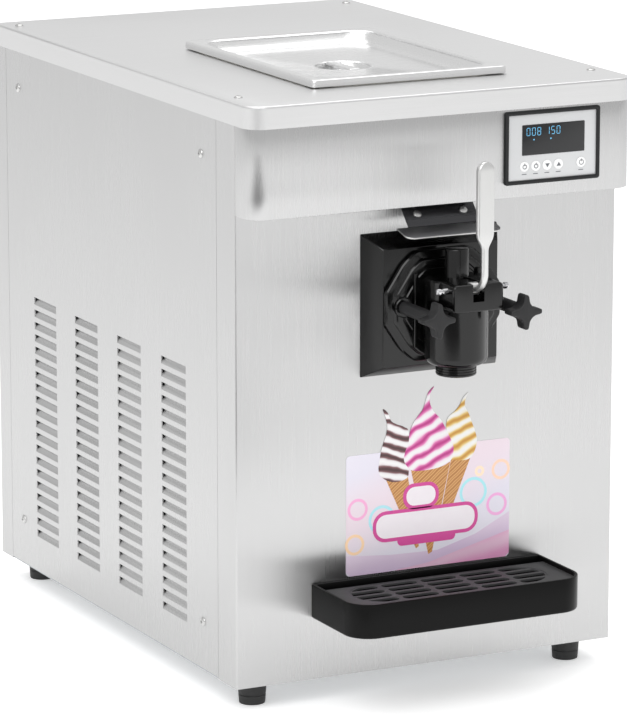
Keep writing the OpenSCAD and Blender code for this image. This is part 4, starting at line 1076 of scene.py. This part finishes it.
@dataclass
class DispensingHead:
    """Black valve head on its surround, with plunger, pin and outlet cap."""

    axis_z: float = 354.0
    valve_y: float = -55.0
    plate_r: float = 60.0
    back: float = -24.6
    front: float = -35.2
    valve_r: float = 29.5
    valve_down: float = 51.0
    valve_up: float = 30.0
    valve_round: float = 8.0
    slot: float = 11.6
    rib_x: float = 33.0
    stud_x: float = 45.0
    plunger_r: float = 11.3
    cap_r: float = 19.0

    def build(self) -> None:
        """Build every piece of the head."""
        self.build_surround()
        self.build_body()
        self.build_plunger()
        self.build_pin()
        self.build_cap()

    def build_surround(self) -> None:
        """Sloped frame that closes the gap around the freezing cylinder."""
        z = self.axis_z - 1.0
        rings = [facing(rectangle(w, h, 1.0, (0.0, z), 2), y)
                 for w, h, y in ((144.0, 136.0, 0.0), (120.0, 112.0, -23.6))]
        surround = loft("sloped_surround", rings)
        round_edges(surround, 0.7, angle=25.0)
        dress(smooth(surround), "surround_plastic", Body.CABINET, ["head_surround"])
        # The front and upward faces of this one moulding take the head's near-black finish:
        # painted shade under the hood and the splash plate.
        surround.data.materials.append(FINISHES["head_plastic"].build())
        for face in surround.data.polygons:
            face.material_index = 1 if face.normal.y < -0.95 or face.normal.z > 0.3 else 0

    def build_body(self) -> None:
        """Eight-sided plate, upright valve body and yoke, moulded as one."""
        z, b, f, y = self.axis_z, self.back, self.front, self.valve_y
        top_half = PLATE + [(-x, h) for x, h in reversed(PLATE)][1:]
        outline = top_half + [(x, -h) for x, h in reversed(top_half)][1:-1]
        steps = [(1.2, b), (0.0, b - 1.0), (0.0, b - 4.6), (1.2, b - 5.9), (5.6, b - 6.2),
                 (7.2, b - 6.8), (8.4, f + 1.4), (9.6, f + 0.3), (10.6, f), (15.0, f),
                 (16.0, f + 1.0), (18.0, f + 1.0), (19.0, f), (40.0, f)]
        rings = []
        for inset, depth in steps:
            share = (self.plate_r - inset) / self.plate_r
            rings.append(facing([(x * share, z + h * share) for x, h in outline], depth))
        plate = loft("plate", rings)
        r, low, top, bend = self.valve_r, z - self.valve_down, z + self.valve_up, self.valve_round
        corner = [(r - bend + bend * math.sin(math.radians(a)),
                   low + bend - bend * math.cos(math.radians(a))) for a in range(0, 91, 15)]
        body = turned("body", [(11.4, low - 7.5), (14.4, low - 7.5), (15.0, low - 6.8),
                               (15.0, low), *corner, (r, top - 1.5), (r - 1.5, top),
                               (12.6, top), (11.6, top - 1.0), (11.6, top - 4.0)],
                      Axis.Z, (0.0, y, 0.0), 72)
        yoke = slab("yoke", rectangle(52.0, 26.0, 4.6, (0.0, z + 18.0), 5), facing, -98.0,
                    y + 12.0, 2.0, 3)
        slot = rectangle(self.slot, 40.0, 0.4, (0.0, z + 34.4), 1)
        cut(yoke, loft("yoke_slot", [facing(slot, -100.0), facing(slot, -62.0)]))
        bore = circle(self.slot, 40, (0.0, y))
        cut(yoke, loft("yoke_bore", [level(bore, z - 10.0), level(bore, z + 40.0)]))
        smooth(yoke)
        neck = slab("neck", rectangle(50.0, 64.0, 6.0, (0.0, z - 4.0), 5), facing,
                    y + 4.0, f + 1.0, 1.5)
        ribs = [slab("rib", rectangle(4.0, 70.0, 1.0, (x, z - 2.0), 2), facing, f - 3.0,
                     f + 1.0, 0.8) for x in (-self.rib_x, self.rib_x)]
        bosses = [turned("stud_boss", [(9.5, f + 1.0), (9.5, f - 2.4), (8.6, f - 3.2),
                                       (0.0, f - 3.2)], Axis.Y, (x, 0.0, z + 2.0), 32)
                  for x in (-self.stud_x, self.stud_x)]
        head = join([plate, body, yoke, neck, *ribs, *bosses], "valve_head")
        dress(smooth(head), "head_plastic", Body.CABINET, ["dispensing_head"])

    def build_plunger(self) -> None:
        """Plunger with a flat top and the window that the lever's finger works in."""
        z = self.axis_z
        low, top = z - 34.0, z + 57.5
        r = self.plunger_r
        rod = turned("plunger_rod", [(r - 0.7, low), (r, low + 0.8), (r, top - 1.2),
                                     (r - 0.4, top - 0.4), (r - 1.2, top), (0.0, top)],
                     Axis.Z, (0.0, self.valve_y, 0.0), 48)
        window = rectangle(self.slot, 10.6, 0.4, (0.0, PIVOT[1]), 1)
        cut(rod, loft("window", [facing(window, self.valve_y - 14.0),
                                 facing(window, self.valve_y - 3.0)]))
        dress(smooth(rod), "head_plastic", Body.PLUNGER, ["plunger"])

    def build_pin(self) -> None:
        """Grooved pivot pin that stands out of both sides of the yoke."""
        half = [(3.0, 0.0), (3.0, 30.6), (2.1, 31.3), (2.1, 32.7), (3.0, 33.2), (3.0, 36.0),
                (2.5, 37.0), (1.5, 37.5), (0.0, 37.5)]
        profile = [(r, -x) for r, x in reversed(half[1:])] + half[1:]
        pin = turned("turned_pivot_pin", profile, Axis.X, (0.0, *PIVOT), 32)
        dress(pin, "pin_chrome", Body.CABINET, ["pivot_pin"])

    def build_cap(self) -> None:
        """Screwed outlet cap with grooves outside and a star-shaped opening."""
        z, r = self.axis_z - 61.5, self.cap_r
        profile = [(7.0, z + 2.0), (7.0, z), (r - 1.4, z), (r - 0.4, z + 0.5), (r, z + 1.3)]
        for k in range(3):
            g = z + 2.2 + 2.4 * k
            profile += [(r, g), (r - 0.7, g + 0.4), (r - 0.7, g + 1.0), (r, g + 1.4)]
        profile += [(r, z + 9.4), (r - 0.6, z + 10.0), (15.2, z + 10.0), (15.2, z + 3.0)]
        cap = turned("screwed_outlet_cap", profile, Axis.Z, (0.0, self.valve_y, 0.0), 64)
        tips, roots = (circle(size, 12, (0.0, self.valve_y)) for size in (8.4, 5.6))
        star = curve([(tips if k % 2 else roots)[k] for k in range(12)], 3)
        cut(cap, loft("star", [level(star, z - 2.0), level(star, z + 5.0)]))
        dress(smooth(cap), "head_plastic", Body.NOZZLE, ["nozzle_cap"])


@dataclass
class HandLever:
    """Hand lever: a hub on the pin, a finger in the plunger, a stem and a flat grip."""

    front: float = -112.0
    thick: float = 7.2
    stem: float = 6.4
    stem_thick: float = 6.2
    grip: float = 17.0
    top: float = 500.0

    def section(self, y: float, z: float, turn: float, width: float, thick: float) -> Ring:
        """Draw a rounded section of the lever.

        Args:
            y: Middle of the section.
            z: Height of its middle.
            turn: Angle that the lever leans to the front there, in degrees from upright.
            width: Size across the machine.
            thick: Size from front to back.

        Returns:
            The ring.
        """
        dy, dz = -math.sin(math.radians(turn)), math.cos(math.radians(turn))
        r = min(2.6, width / 2 - 0.2, thick / 2 - 0.2)
        return [tuple(place(x, y + s * dz, z - s * dy))
                for x, s in rectangle(width, thick, max(r, 0.15), steps=4)]

    def build(self) -> None:
        """Build the lever."""
        mid = self.front + self.thick / 2
        w, t, tip = self.stem, self.stem_thick, self.grip / 2
        rings = [self.section(-84.0, 377.4, 72, w, 4.6), self.section(-92.0, 379.4, 70, w, 5.0),
                 self.section(-99.0, 382.0, 64, w, 5.4), self.section(-104.0, 385.2, 48, w, 5.8),
                 self.section(-106.9, 389.6, 26, w, t), self.section(mid, 394.5, 0, w, t),
                 self.section(mid, 418.0, 0, w, t)]
        for z, share in ((420.5, 0.06), (423.0, 0.25), (426.0, 0.55), (429.0, 0.82),
                         (431.5, 0.95), (434.5, 1.0), (self.top - tip, 1.0)):
            rings.append(self.section(mid, z, 0, w + (self.grip - w) * share,
                                      t + (self.thick - t) * share))
        for a in (20, 38, 54, 68, 80, 88):
            c, s = math.cos(math.radians(a)), math.sin(math.radians(a))
            rings.append(self.section(mid, self.top - tip + tip * s, 0,
                                      max(self.grip * c, 1.0),
                                      self.thick * (0.55 + 0.45 * c)))
        arm = smooth(loft("arm", rings), 40.0)
        y, z = PIVOT
        hub = turned("hub", [(3.1, -5.3), (5.6, -5.3), (6.2, -4.6), (6.2, 4.6), (5.6, 5.3),
                             (3.1, 5.3)], Axis.X, (0.0, y, z), 40)
        finger = slab("finger", rectangle(25.0, 5.8, 2.8, (y + 12.6, z), 6), sideways, -5.3, 5.3,
                      0.5)
        dress(smooth(join([arm, hub, finger], "cast_lever"), 40.0), "lever_satin", Body.LEVER,
              ["lever"])


@dataclass
class StarKnob:
    """Four-lobed knob on a long shank."""

    x: float
    body: Body
    node: str
    z: float = 356.0
    front: float = -108.5
    thick: float = 15.0
    reach: float = 16.2
    waist: float = 18.5
    notch: float = 10.3

    def outline(self) -> list[Point]:
        """Draw the lobes: four round notches in a circle, then all corners softened.

        Returns:
            Points in order.
        """
        count = 144
        raw = []
        for k in range(count):
            a = 2 * math.pi * k / count
            d = (a + math.pi / 4) % (math.pi / 2) - math.pi / 4
            off = math.pi / 4 - abs(d)
            room = self.notch ** 2 - (self.waist * math.sin(off)) ** 2
            r = self.waist * math.cos(off) - math.sqrt(room) if room > 0 else self.reach
            r = min(r, self.reach)
            raw.append((r * math.cos(a), r * math.sin(a)))
        for _ in range(3):
            raw = [tuple((raw[k - 1][i] + raw[k][i] + raw[(k + 1) % count][i]) / 3
                         for i in (0, 1)) for k in range(count)]
        return [(self.x + a, self.z + b) for a, b in raw]

    def build(self) -> None:
        """Build the knob."""
        star = slab("star", self.outline(), facing, self.front, self.front + self.thick, 1.6, 4)
        y = self.front + self.thick
        shank = turned("shank", [(0.0, y - 1.0), (8.4, y - 1.0), (8.4, y + 1.2), (7.6, y + 2.4),
                                 (6.2, y + 3.6), (6.2, -36.6), (5.6, -36.0), (0.0, -36.0)],
                       Axis.Y, (self.x, 0.0, self.z), 36)
        dress(smooth(join([star, shank], "star_" + self.node)), "knob_plastic", self.body,
              [self.node])


# ---------------------------------------------------------------- tray, label, panel


@dataclass
class DripTray:
    """Drip tray with its ledge and hooks, and the slotted grille in it."""

    half: float = 122.0
    front: float = -92.0
    low: float = 59.6
    top: float = 92.6
    radius: float = 25.0
    grille_low: float = 86.2
    grille_thick: float = 2.6
    grille_gap: float = 3.4
    slots_y: float = -44.5
    slot_row: float = 14.6
    slot_column: float = 41.6

    def plan(self, inset: float) -> list[Point]:
        """Plan of the tray, shrunk on all sides."""
        return bowed(self.half - inset, self.front + inset, -0.4 - inset,
                     max(self.radius - inset, 2.0), 10)

    def build(self) -> None:
        """Build the tray and the grille."""
        steps = [(2.2, self.low), (0.9, self.low + 0.4), (0.2, self.low + 1.4),
                 (0.0, self.low + 2.8), (0.0, self.top - 1.0), (0.3, self.top - 0.3),
                 (1.0, self.top), (2.2, self.top), (2.8, self.top - 0.3), (3.0, self.top - 1.0),
                 (3.0, self.grille_low), (5.5, self.grille_low), (5.5, self.low + 5.0),
                 (6.4, self.low + 3.4), (8.0, self.low + 3.0)]
        tray = smooth(loft("tray_shell", [level(self.plan(g), z) for g, z in steps]), 40.0)
        hooks = [slab("hook", rectangle(30.0, 3.0, 0.6, (x, HOOK_Z), 2), facing, -1.5, 12.0,
                      0.4) for x in (-HOOK_X, HOOK_X)]
        dress(smooth(join([tray] + hooks, "drip_tray_shell"), 40.0), "tray_plastic", Body.TRAY,
              ["drip_tray"])
        self.build_grille()

    def build_grille(self) -> None:
        """Grille with four rows of round-ended slots inside a long oval."""
        g, low, y = self.grille_gap, self.grille_low, self.slots_y
        top = low + self.grille_thick
        outline = bowed(self.half - g, self.front + g, -13.0, self.radius - g, 10)
        plate = loft("plate", [level(outline, low), level(outline, top)])
        rim = rectangle(203.0, 60.0, 30.0, (0.0, y), 12)
        cut(plate, loft("rim", [level(rim, top - 0.45), level(rim, top + 1.0)]))
        slots = []
        for row in (-1.5, -0.5, 0.5, 1.5):
            for column in (-2, -1, 0, 1, 2):
                spot = (column * self.slot_column, y + row * self.slot_row)
                hole = rectangle(self.slot_column - 4.6, self.slot_row - 4.4, 4.9, spot, 5)
                slots.append(loft("slot", [level(hole, low - 2.0), level(hole, top + 2.0)]))
        tool = join(slots, "slots")
        oval = rectangle(199.0, 56.4, 28.1, (0.0, y), 12)
        cut(tool, loft("oval", [level(oval, low - 1.0), level(oval, top + 1.0)]),
            operation="INTERSECT")
        cut(plate, tool)
        round_edges(plate, 0.45, angle=50.0)
        plate.name = plate.data.name = "slotted_grille"
        dress(smooth(plate), "grille_plastic", Body.GRILLE, ["drip_grille"])


# Outlines of the label's whipped tops and cones, from the middle of the card's upper edge.
PEAKS: dict[str, list[Point]] = {
    "pink": [(5.5, 58), (1.6, 52), (0.8, 43), (5, 34), (11.5, 27), (16.5, 19), (21, 10), (25, 2),
             (26.5, -6), (23, -16), (10, -21), (-8, -22), (-19, -20), (-26, -11), (-25, -2),
             (-21.5, 6), (-20.5, 15), (-17, 24), (-11.5, 31), (-6.5, 37), (-3.6, 45), (-0.4, 53)],
    "brown": [(-48.5, 41.5), (-43.5, 37.5), (-40, 29.5), (-34, 25.5), (-26, 22), (-21, 15),
              (-21, -20), (-24, -28), (-36, -30), (-47, -26), (-53, -18), (-51.5, -4), (-50, 3),
              (-47.5, 10), (-45, 17), (-44, 25), (-45.8, 33)],
    "cream": [(42, 48.5), (38.8, 42), (38.6, 35), (42.5, 28), (46, 19), (49.5, 10), (51.5, 1),
              (49, -9), (43, -16), (30, -16), (22, -12), (21, 1), (19.5, 11), (18.5, 20),
              (21, 27), (28, 32), (33, 37.5), (36.5, 44)],
}
CONES: dict[str, list[Point]] = {
    "brown": [(-46, -25), (-22, -26), (-10, -95), (-13, -97)],
    "cream": [(24, -14), (45, -14), (12, -92), (8, -90)],
    "pink": [(-19, -19), (23, -17), (4, -102), (0, -104)],
}


@dataclass
class PictureLabel:
    """Printed label: a pale card with bubbles and three whipped cones of generic design."""

    x: float = 1.0
    low: float = 95.0
    top: float = 211.0
    width: float = 174.0
    film: float = 0.3

    def ink(self, name: str, points: Sequence[Point], layer: int, finish: Finish | Print) -> None:
        """Lay one printed shape on the card.

        Args:
            name: Name of the shape.
            points: Outline from the middle of the card's upper edge.
            layer: Which layer it lies on.
            finish: Its ink.
        """
        outline = [(self.x + a, self.top + b) for a, b in points]
        back = -self.film - 0.03 * layer + 0.05
        piece = slab("label_" + name, outline, facing, back - 0.09, back)
        dress(piece, "label_film", Body.CABINET, finish=finish)

    def bubble(self, name: str, x: float, z: float, radius: float, colour: str) -> None:
        """Lay one thin printed ring on the card.

        Args:
            name: Name of the ring.
            x: Its middle.
            z: Height of its middle.
            radius: Radius of its line.
            colour: Its ink.
        """
        outlines = [circle(r, 40, (x, z)) for r in (radius - 1.7, radius + 1.1)]
        ring = washer("label_" + name, outlines, -self.film - 0.04, -self.film + 0.04)
        finish = Finish("bubble_ink_" + colour[1:], colour, colour, roughness=FILM_ROUGHNESS,
                        spread=0.03, grain_mm=20.0)
        dress(smooth(ring), "label_film", Body.CABINET, finish=finish)

    def build(self) -> None:
        """Build the card and everything printed on it."""
        card = slab("label_card", rectangle(self.width, self.top - self.low, 4.0,
                                            (self.x, (self.top + self.low) / 2), 6),
                    facing, -self.film, 0.0)
        dress(card, "label_film", Body.CABINET, ["picture_label"],
              Print("pale_card_print", ("#FBEAF4", "#F1EDFA", "#F3EFFB"), band_mm=190.0,
                    turn=24.0, bend=1.0, soft_mm=150.0))
        for k, (x, z, radius, colour) in enumerate((
                (-73.9, 158.7, 9.5, "#EBA8CF"), (-48.3, 146.0, 13.0, "#A9DCE6"),
                (49.0, 162.0, 13.5, "#A4DEE6"), (74.3, 147.6, 10.0, "#E7A5D4"),
                (78.5, 181.2, 8.8, "#F2CDB4"), (-77.0, 125.0, 9.0, "#F3CFA8"),
                (55.6, 181.8, 4.0, "#F6DCC0"), (-66.0, 104.5, 5.0, "#C9B4E4"))):
            self.bubble("bubble_%d" % k, x, z, radius, colour)
        wave = [(-36, -116), (6, -109), (46, -99), (70, -92), (87, -87), (87, -112.5), (83, -116)]
        self.ink("wave", wave, 1, Print("pink_wave_print", ("#EFA6D2", "#F5CBE4"), band_mm=26.0,
                                        turn=12.0, bend=1.0, soft_mm=30.0))
        haze = [(-87, -96), (-40, -100), (10, -101), (50, -90), (87, -72), (87, -90), (60, -97),
                (0, -112), (-40, -116), (-83, -116), (-87, -112)]
        self.ink("haze", haze, 2, Print("lilac_haze_print", ("#E3CBE9", "#F0DDF1"),
                                        band_mm=60.0, turn=10.0, bend=1.0, soft_mm=40.0))
        waffle = Print("waffle_print", ("#B8783C", "#D89A55", "#EBB97A", "#C98845"),
                       band_mm=5.0, turn=38.0, bend=0.6, soft_mm=8.0)
        for name, cone in CONES.items():
            self.ink("cone_" + name, cone, 2 if name != "pink" else 3, waffle)
        swirls = {
            "brown": Print("brown_swirl_print", ("#4A2B2E", "#8A5F62", "#F3EDEF", "#FFFFFF"),
                           band_mm=11.0, turn=-16.0, bend=2.2, soft_mm=16.0),
            "cream": Print("cream_swirl_print", ("#D59A3C", "#F2CF7A", "#FFF6DC", "#FFFFFF"),
                           band_mm=12.0, turn=22.0, bend=2.2, soft_mm=16.0),
            "pink": Print("pink_swirl_print", ("#C72C8C", "#EE86C3", "#FDEAF5", "#FFFFFF"),
                          band_mm=13.0, turn=26.0, bend=2.4, soft_mm=18.0),
        }
        for name, peak in PEAKS.items():
            self.ink("swirl_" + name, curve(peak, 4), 4 if name != "pink" else 5, swirls[name])
        magenta, white = (Finish(name, colour, shade, roughness=FILM_ROUGHNESS, spread=0.03,
                                 grain_mm=12.0)
                          for name, colour, shade in (("magenta_ink", "#C63A8C", "#CC4593"),
                                                      ("white_ink", "#E4DCE2", "#E9E4E8")))
        for name, x, z, width, height in (("plaque_small", -8.0, -45.5, 38.0, 25.0),
                                          ("plaque_large", -3.0, -72.0, 112.0, 30.0),
                                          ("plaque_low", -2.0, -87.0, 62.0, 11.0)):
            shape = rectangle(width, height, height * 0.45, (x, z + 0.06 * x), 6)
            self.ink(name, shape, 5 if name == "plaque_low" else 6, magenta)
            if name != "plaque_low":
                inner = rectangle(width - 7.0, height - 7.0, height * 0.34, (x, z + 0.06 * x), 6)
                self.ink(name + "_inner", inner, 7, white)


@dataclass
class ControlPanel:
    """Keypad: a black bezel, a silver plate, a smoked window with digits and five keys."""

    x: float = 110.5
    z: float = 495.5
    face: float = -34.0
    keys: dict[Body, float] = field(default_factory=lambda: {
        Body.BUTTON_MIX: 80.7, Body.BUTTON_WASH: 92.8, Body.BUTTON_DOWN: 104.9,
        Body.BUTTON_UP: 117.0, Body.BUTTON_POWER: 141.2})
    key_z: float = 477.5
    digit_z: float = 510.0
    digit_pitch: float = 5.7

    def build(self) -> None:
        """Build every piece of the keypad."""
        spot = (self.x, self.z)
        steps = ((0.0, 0.0), (0.0, -2.6), (0.4, -3.3), (1.0, -3.5), (3.0, -3.5), (3.6, -3.3),
                 (3.8, -2.6), (3.8, 0.0), (0.0, 0.0))
        rings = [facing(rectangle(101.0 - 2 * g, 69.0 - 2 * g, max(2.6 - g * 0.5, 0.8), spot),
                        self.face + y) for g, y in steps]
        dress(smooth(loft("keypad_bezel", rings, False), 40.0), "bezel_plastic", Body.CABINET,
              ["control_bezel"])
        plate = slab("keypad_plate", rectangle(93.6, 61.6, 1.0, spot, 3), facing,
                     self.face - 2.0, self.face, 0.3)
        dress(plate, "faceplate_silver", Body.CABINET, ["control_faceplate"])
        window = slab("display_pane", rectangle(66.4, 28.6, 0.8, (111.4, 502.3), 3), facing,
                      self.face - 2.5, self.face - 1.9, 0.15)
        dress(window, "display_black", Body.CABINET, ["display_window"])
        self.build_digits()
        self.build_keys()

    def build_digits(self) -> None:
        """Six seven-segment digits, lit pale blue, with two small marks under them."""
        shapes = {"0": "abcdef", "1": "bc", "5": "afgcd", "8": "abcdefg"}
        bars = {"a": (0, 1, 1), "b": (1, 0.5, 0), "c": (1, -0.5, 0), "d": (0, -1, 1),
                "e": (-1, -0.5, 0), "f": (-1, 0.5, 0), "g": (0, 0, 1)}
        y = self.face - 2.5
        pieces = []
        for k, digit in enumerate("008150"):
            x = 84.6 + self.digit_pitch * k + (3.4 if k > 2 else 0.0)
            for name in shapes[digit]:
                dx, dz, flat = bars[name]
                size = (2.9, 0.5) if flat else (0.5, 3.2)
                spot = (x + dx * 1.65, self.digit_z + dz * 3.5)
                pieces.append(slab("bar", rectangle(*size, 0.25, spot, 1), facing, y - 0.06,
                                   y + 0.02))
        for x in (90.5, 108.5):
            pieces.append(slab("mark", circle(0.7, 12, (x, 502.4)), facing, y - 0.06, y + 0.02))
        lit = Finish("lit_segments", "#5FA6CC", "#5698BD", roughness=0.4, spread=0.03,
                     grain_mm=4.0, glow=0.7)
        dress(smooth(join(pieces, "display_digits")), "display_black", Body.CABINET, finish=lit)

    def build_keys(self) -> None:
        """Soft white keys, each with a plain sign."""
        y = self.face - 2.0
        grey = Finish("grey_sign_ink", "#5C5E62", "#66686C", roughness=0.4, spread=0.03,
                      grain_mm=4.0)
        for body, x in self.keys.items():
            key = turned("key_" + body.value, [(5.6, y + 3.1), (5.6, y + 2.1), (4.8, y + 2.0),
                                               (4.8, y - 0.5), (4.4, y - 0.9), (3.6, y - 1.0),
                                               (0.0, y - 1.0)],
                         Axis.Y, (x, 0.0, self.key_z), 36)
            dress(smooth(key, 50.0), "button_white", body, [body.value])
            sign = self.sign(body, x, y - 1.0)
            dress(smooth(sign), "button_white", body, finish=grey)
            bar = rectangle(5.2, 0.8, 0.2, (x, self.key_z - 7.2), 1)
            mark = slab("caption_" + body.value, bar, facing, y - 0.04, y + 0.04)
            dress(mark, "faceplate_silver", Body.CABINET, finish=grey)

    def sign(self, body: Body, x: float, y: float) -> bpy.types.Object:
        """Plain sign of a key: an arrow, a ring, a bar or a ring with a bar.

        Args:
            body: Body of the key.
            x: Middle of the key.
            y: Face of the key.

        Returns:
            The sign's piece.
        """
        z = self.key_z
        name = "sign_" + body.value
        if body in (Body.BUTTON_DOWN, Body.BUTTON_UP):
            s = 1 if body is Body.BUTTON_UP else -1
            arrow = [(x - 2.4, z - 1.6 * s), (x + 2.4, z - 1.6 * s), (x, z + 2.2 * s)]
            return slab(name, arrow, facing, y - 0.05, y + 0.03)
        outer, inner = (2.6, 1.9) if body is Body.BUTTON_POWER else (2.3, 1.5)
        ring = washer(name + "_ring", [circle(r, 28, (x, z)) for r in (inner, outer)],
                      y - 0.05, y + 0.03)
        bar = slab(name + "_bar", rectangle(0.7, 2.6, 0.2, (x, z + 2.0), 1), facing, y - 0.06,
                   y + 0.03)
        return join([ring, bar], name)


# ---------------------------------------------------------------- studio


@dataclass
class Studio:
    """Pale floor, soft light and the camera."""

    eye: Spot = (-1.9421, -3.8780, 1.2315)
    turn: float = 26.555
    dip: float = 12.463
    lens: float = 225.96
    sensor: float = 36.0
    paper_tone: float = 0.94
    paper_glow: float = 0.36
    felt_tone: float = 0.10
    air_glow: float = 0.85

    def build(self) -> None:
        """Build the floor, the lights and the camera."""
        scene = bpy.context.scene
        data = bpy.data.cameras.new("studio_camera")
        data.lens, data.sensor_width, data.sensor_fit = self.lens, self.sensor, "AUTO"
        camera = bpy.data.objects.new("studio_camera", data)
        scene.collection.objects.link(camera)
        camera.location = self.eye
        camera.rotation_euler = (math.radians(90 - self.dip), 0.0, math.radians(-self.turn))
        scene.camera = camera
        deselect()
        bpy.ops.mesh.primitive_plane_add(size=30.0, location=(0.0, 0.0, 0.0))
        floor = bpy.context.object
        floor.name = "studio_floor"
        floor.data.materials.append(self.backing("white_paper", self.paper_tone, 0.8,
                                                 self.paper_glow))
        self.flag("dark_mat", 38.0, 3.2, (1.3, 4.0))
        world = bpy.data.worlds.new("studio_air")
        scene.world = world
        world.use_nodes = True
        air = world.node_tree.nodes["Background"]
        air.inputs["Color"].default_value = (1.0, 1.0, 1.0, 1.0)
        air.inputs["Strength"].default_value = self.air_glow
        self.lamp("key_box", (-2.0, -2.2, 3.0), 2.6, 70.0)
        self.lamp("top_box", (0.6, 0.8, 3.2), 2.4, 40.0)
        scene.view_settings.view_transform = "Standard"
        scene.view_settings.look = "None"

    def backing(self, name: str, tone: float, roughness: float,
                glow: float = 0.0) -> bpy.types.Material:
        """Make the plain material of a thing on the floor, which isn't part of the machine.

        Args:
            name: Name of the material.
            tone: Its grey, from 0 to 1.
            roughness: Its roughness.
            glow: Strength of its own white light.

        Returns:
            The material.
        """
        material = bpy.data.materials.new(name)
        material.use_nodes = True
        shader = material.node_tree.nodes["Principled BSDF"]
        shader.inputs["Base Color"].default_value = (tone, tone, tone, 1.0)
        shader.inputs["Roughness"].default_value = roughness
        if glow:
            shader.inputs["Emission Color"].default_value = (1.0, 1.0, 1.0, 1.0)
            shader.inputs["Emission Strength"].default_value = glow
        return material

    def flag(self, name: str, turn: float, reach: float, size: Point) -> None:
        """Lay a dark cloth on the floor, out of view, that bright metal mirrors as a dark band.

        Args:
            name: Name of the cloth.
            turn: Direction from the machine, in degrees from the front toward the left.
            reach: Distance of its middle.
            size: Width and length toward the machine.
        """
        a = math.radians(turn)
        deselect()
        bpy.ops.mesh.primitive_plane_add(
            size=1.0, location=(-reach * math.sin(a), -reach * math.cos(a), 0.002),
            rotation=(0.0, 0.0, -a))
        cloth = bpy.context.object
        cloth.name = name
        cloth.scale = (*size, 1.0)
        cloth.data.materials.append(self.backing(name + "_felt", self.felt_tone, 0.9))
        cloth.visible_camera = False

    def lamp(self, name: str, spot: Spot, size: float, power: float) -> None:
        """Hang one soft box that points at the machine's middle.

        Args:
            name: Name of the light.
            spot: Where it hangs, in metres.
            size: Width of its square face, in metres.
            power: Its power in watts.
        """
        data = bpy.data.lights.new(name, "AREA")
        data.shape, data.size, data.energy = "SQUARE", size, power
        lamp = bpy.data.objects.new(name, data)
        bpy.context.scene.collection.objects.link(lamp)
        lamp.location = spot
        aim = Vector((0.0, 0.0, 0.3)) - Vector(spot)
        lamp.rotation_euler = aim.to_track_quat("-Z", "Y").to_euler()


def dress_frame() -> None:
    """Give every solid of the frame the finish of its material slot."""
    slots = {part["node"]: part["material_slot"] for part in frame["record"]["subparts"]}
    for node, solid in frame["nodes"].items():
        solid.data.materials.clear()
        solid.data.materials.append(FINISHES[slots[node]].build())
        log.info("%s: solid, %s", node, slots[node])


def main() -> None:
    """Build the studio and every sub-assembly in order."""
    logging.basicConfig(level=logging.INFO, format="%(message)s")
    Studio().build()
    dress_frame()
    Cabinet().build()
    Canopy().build()
    HopperLid().build()
    DispensingHead().build()
    HandLever().build()
    StarKnob(-45.0, Body.KNOB_LEFT, "knob_left").build()
    StarKnob(45.0, Body.KNOB_RIGHT, "knob_right").build()
    DripTray().build()
    PictureLabel().build()
    ControlPanel().build()


if __name__ == "__main__":
    main()
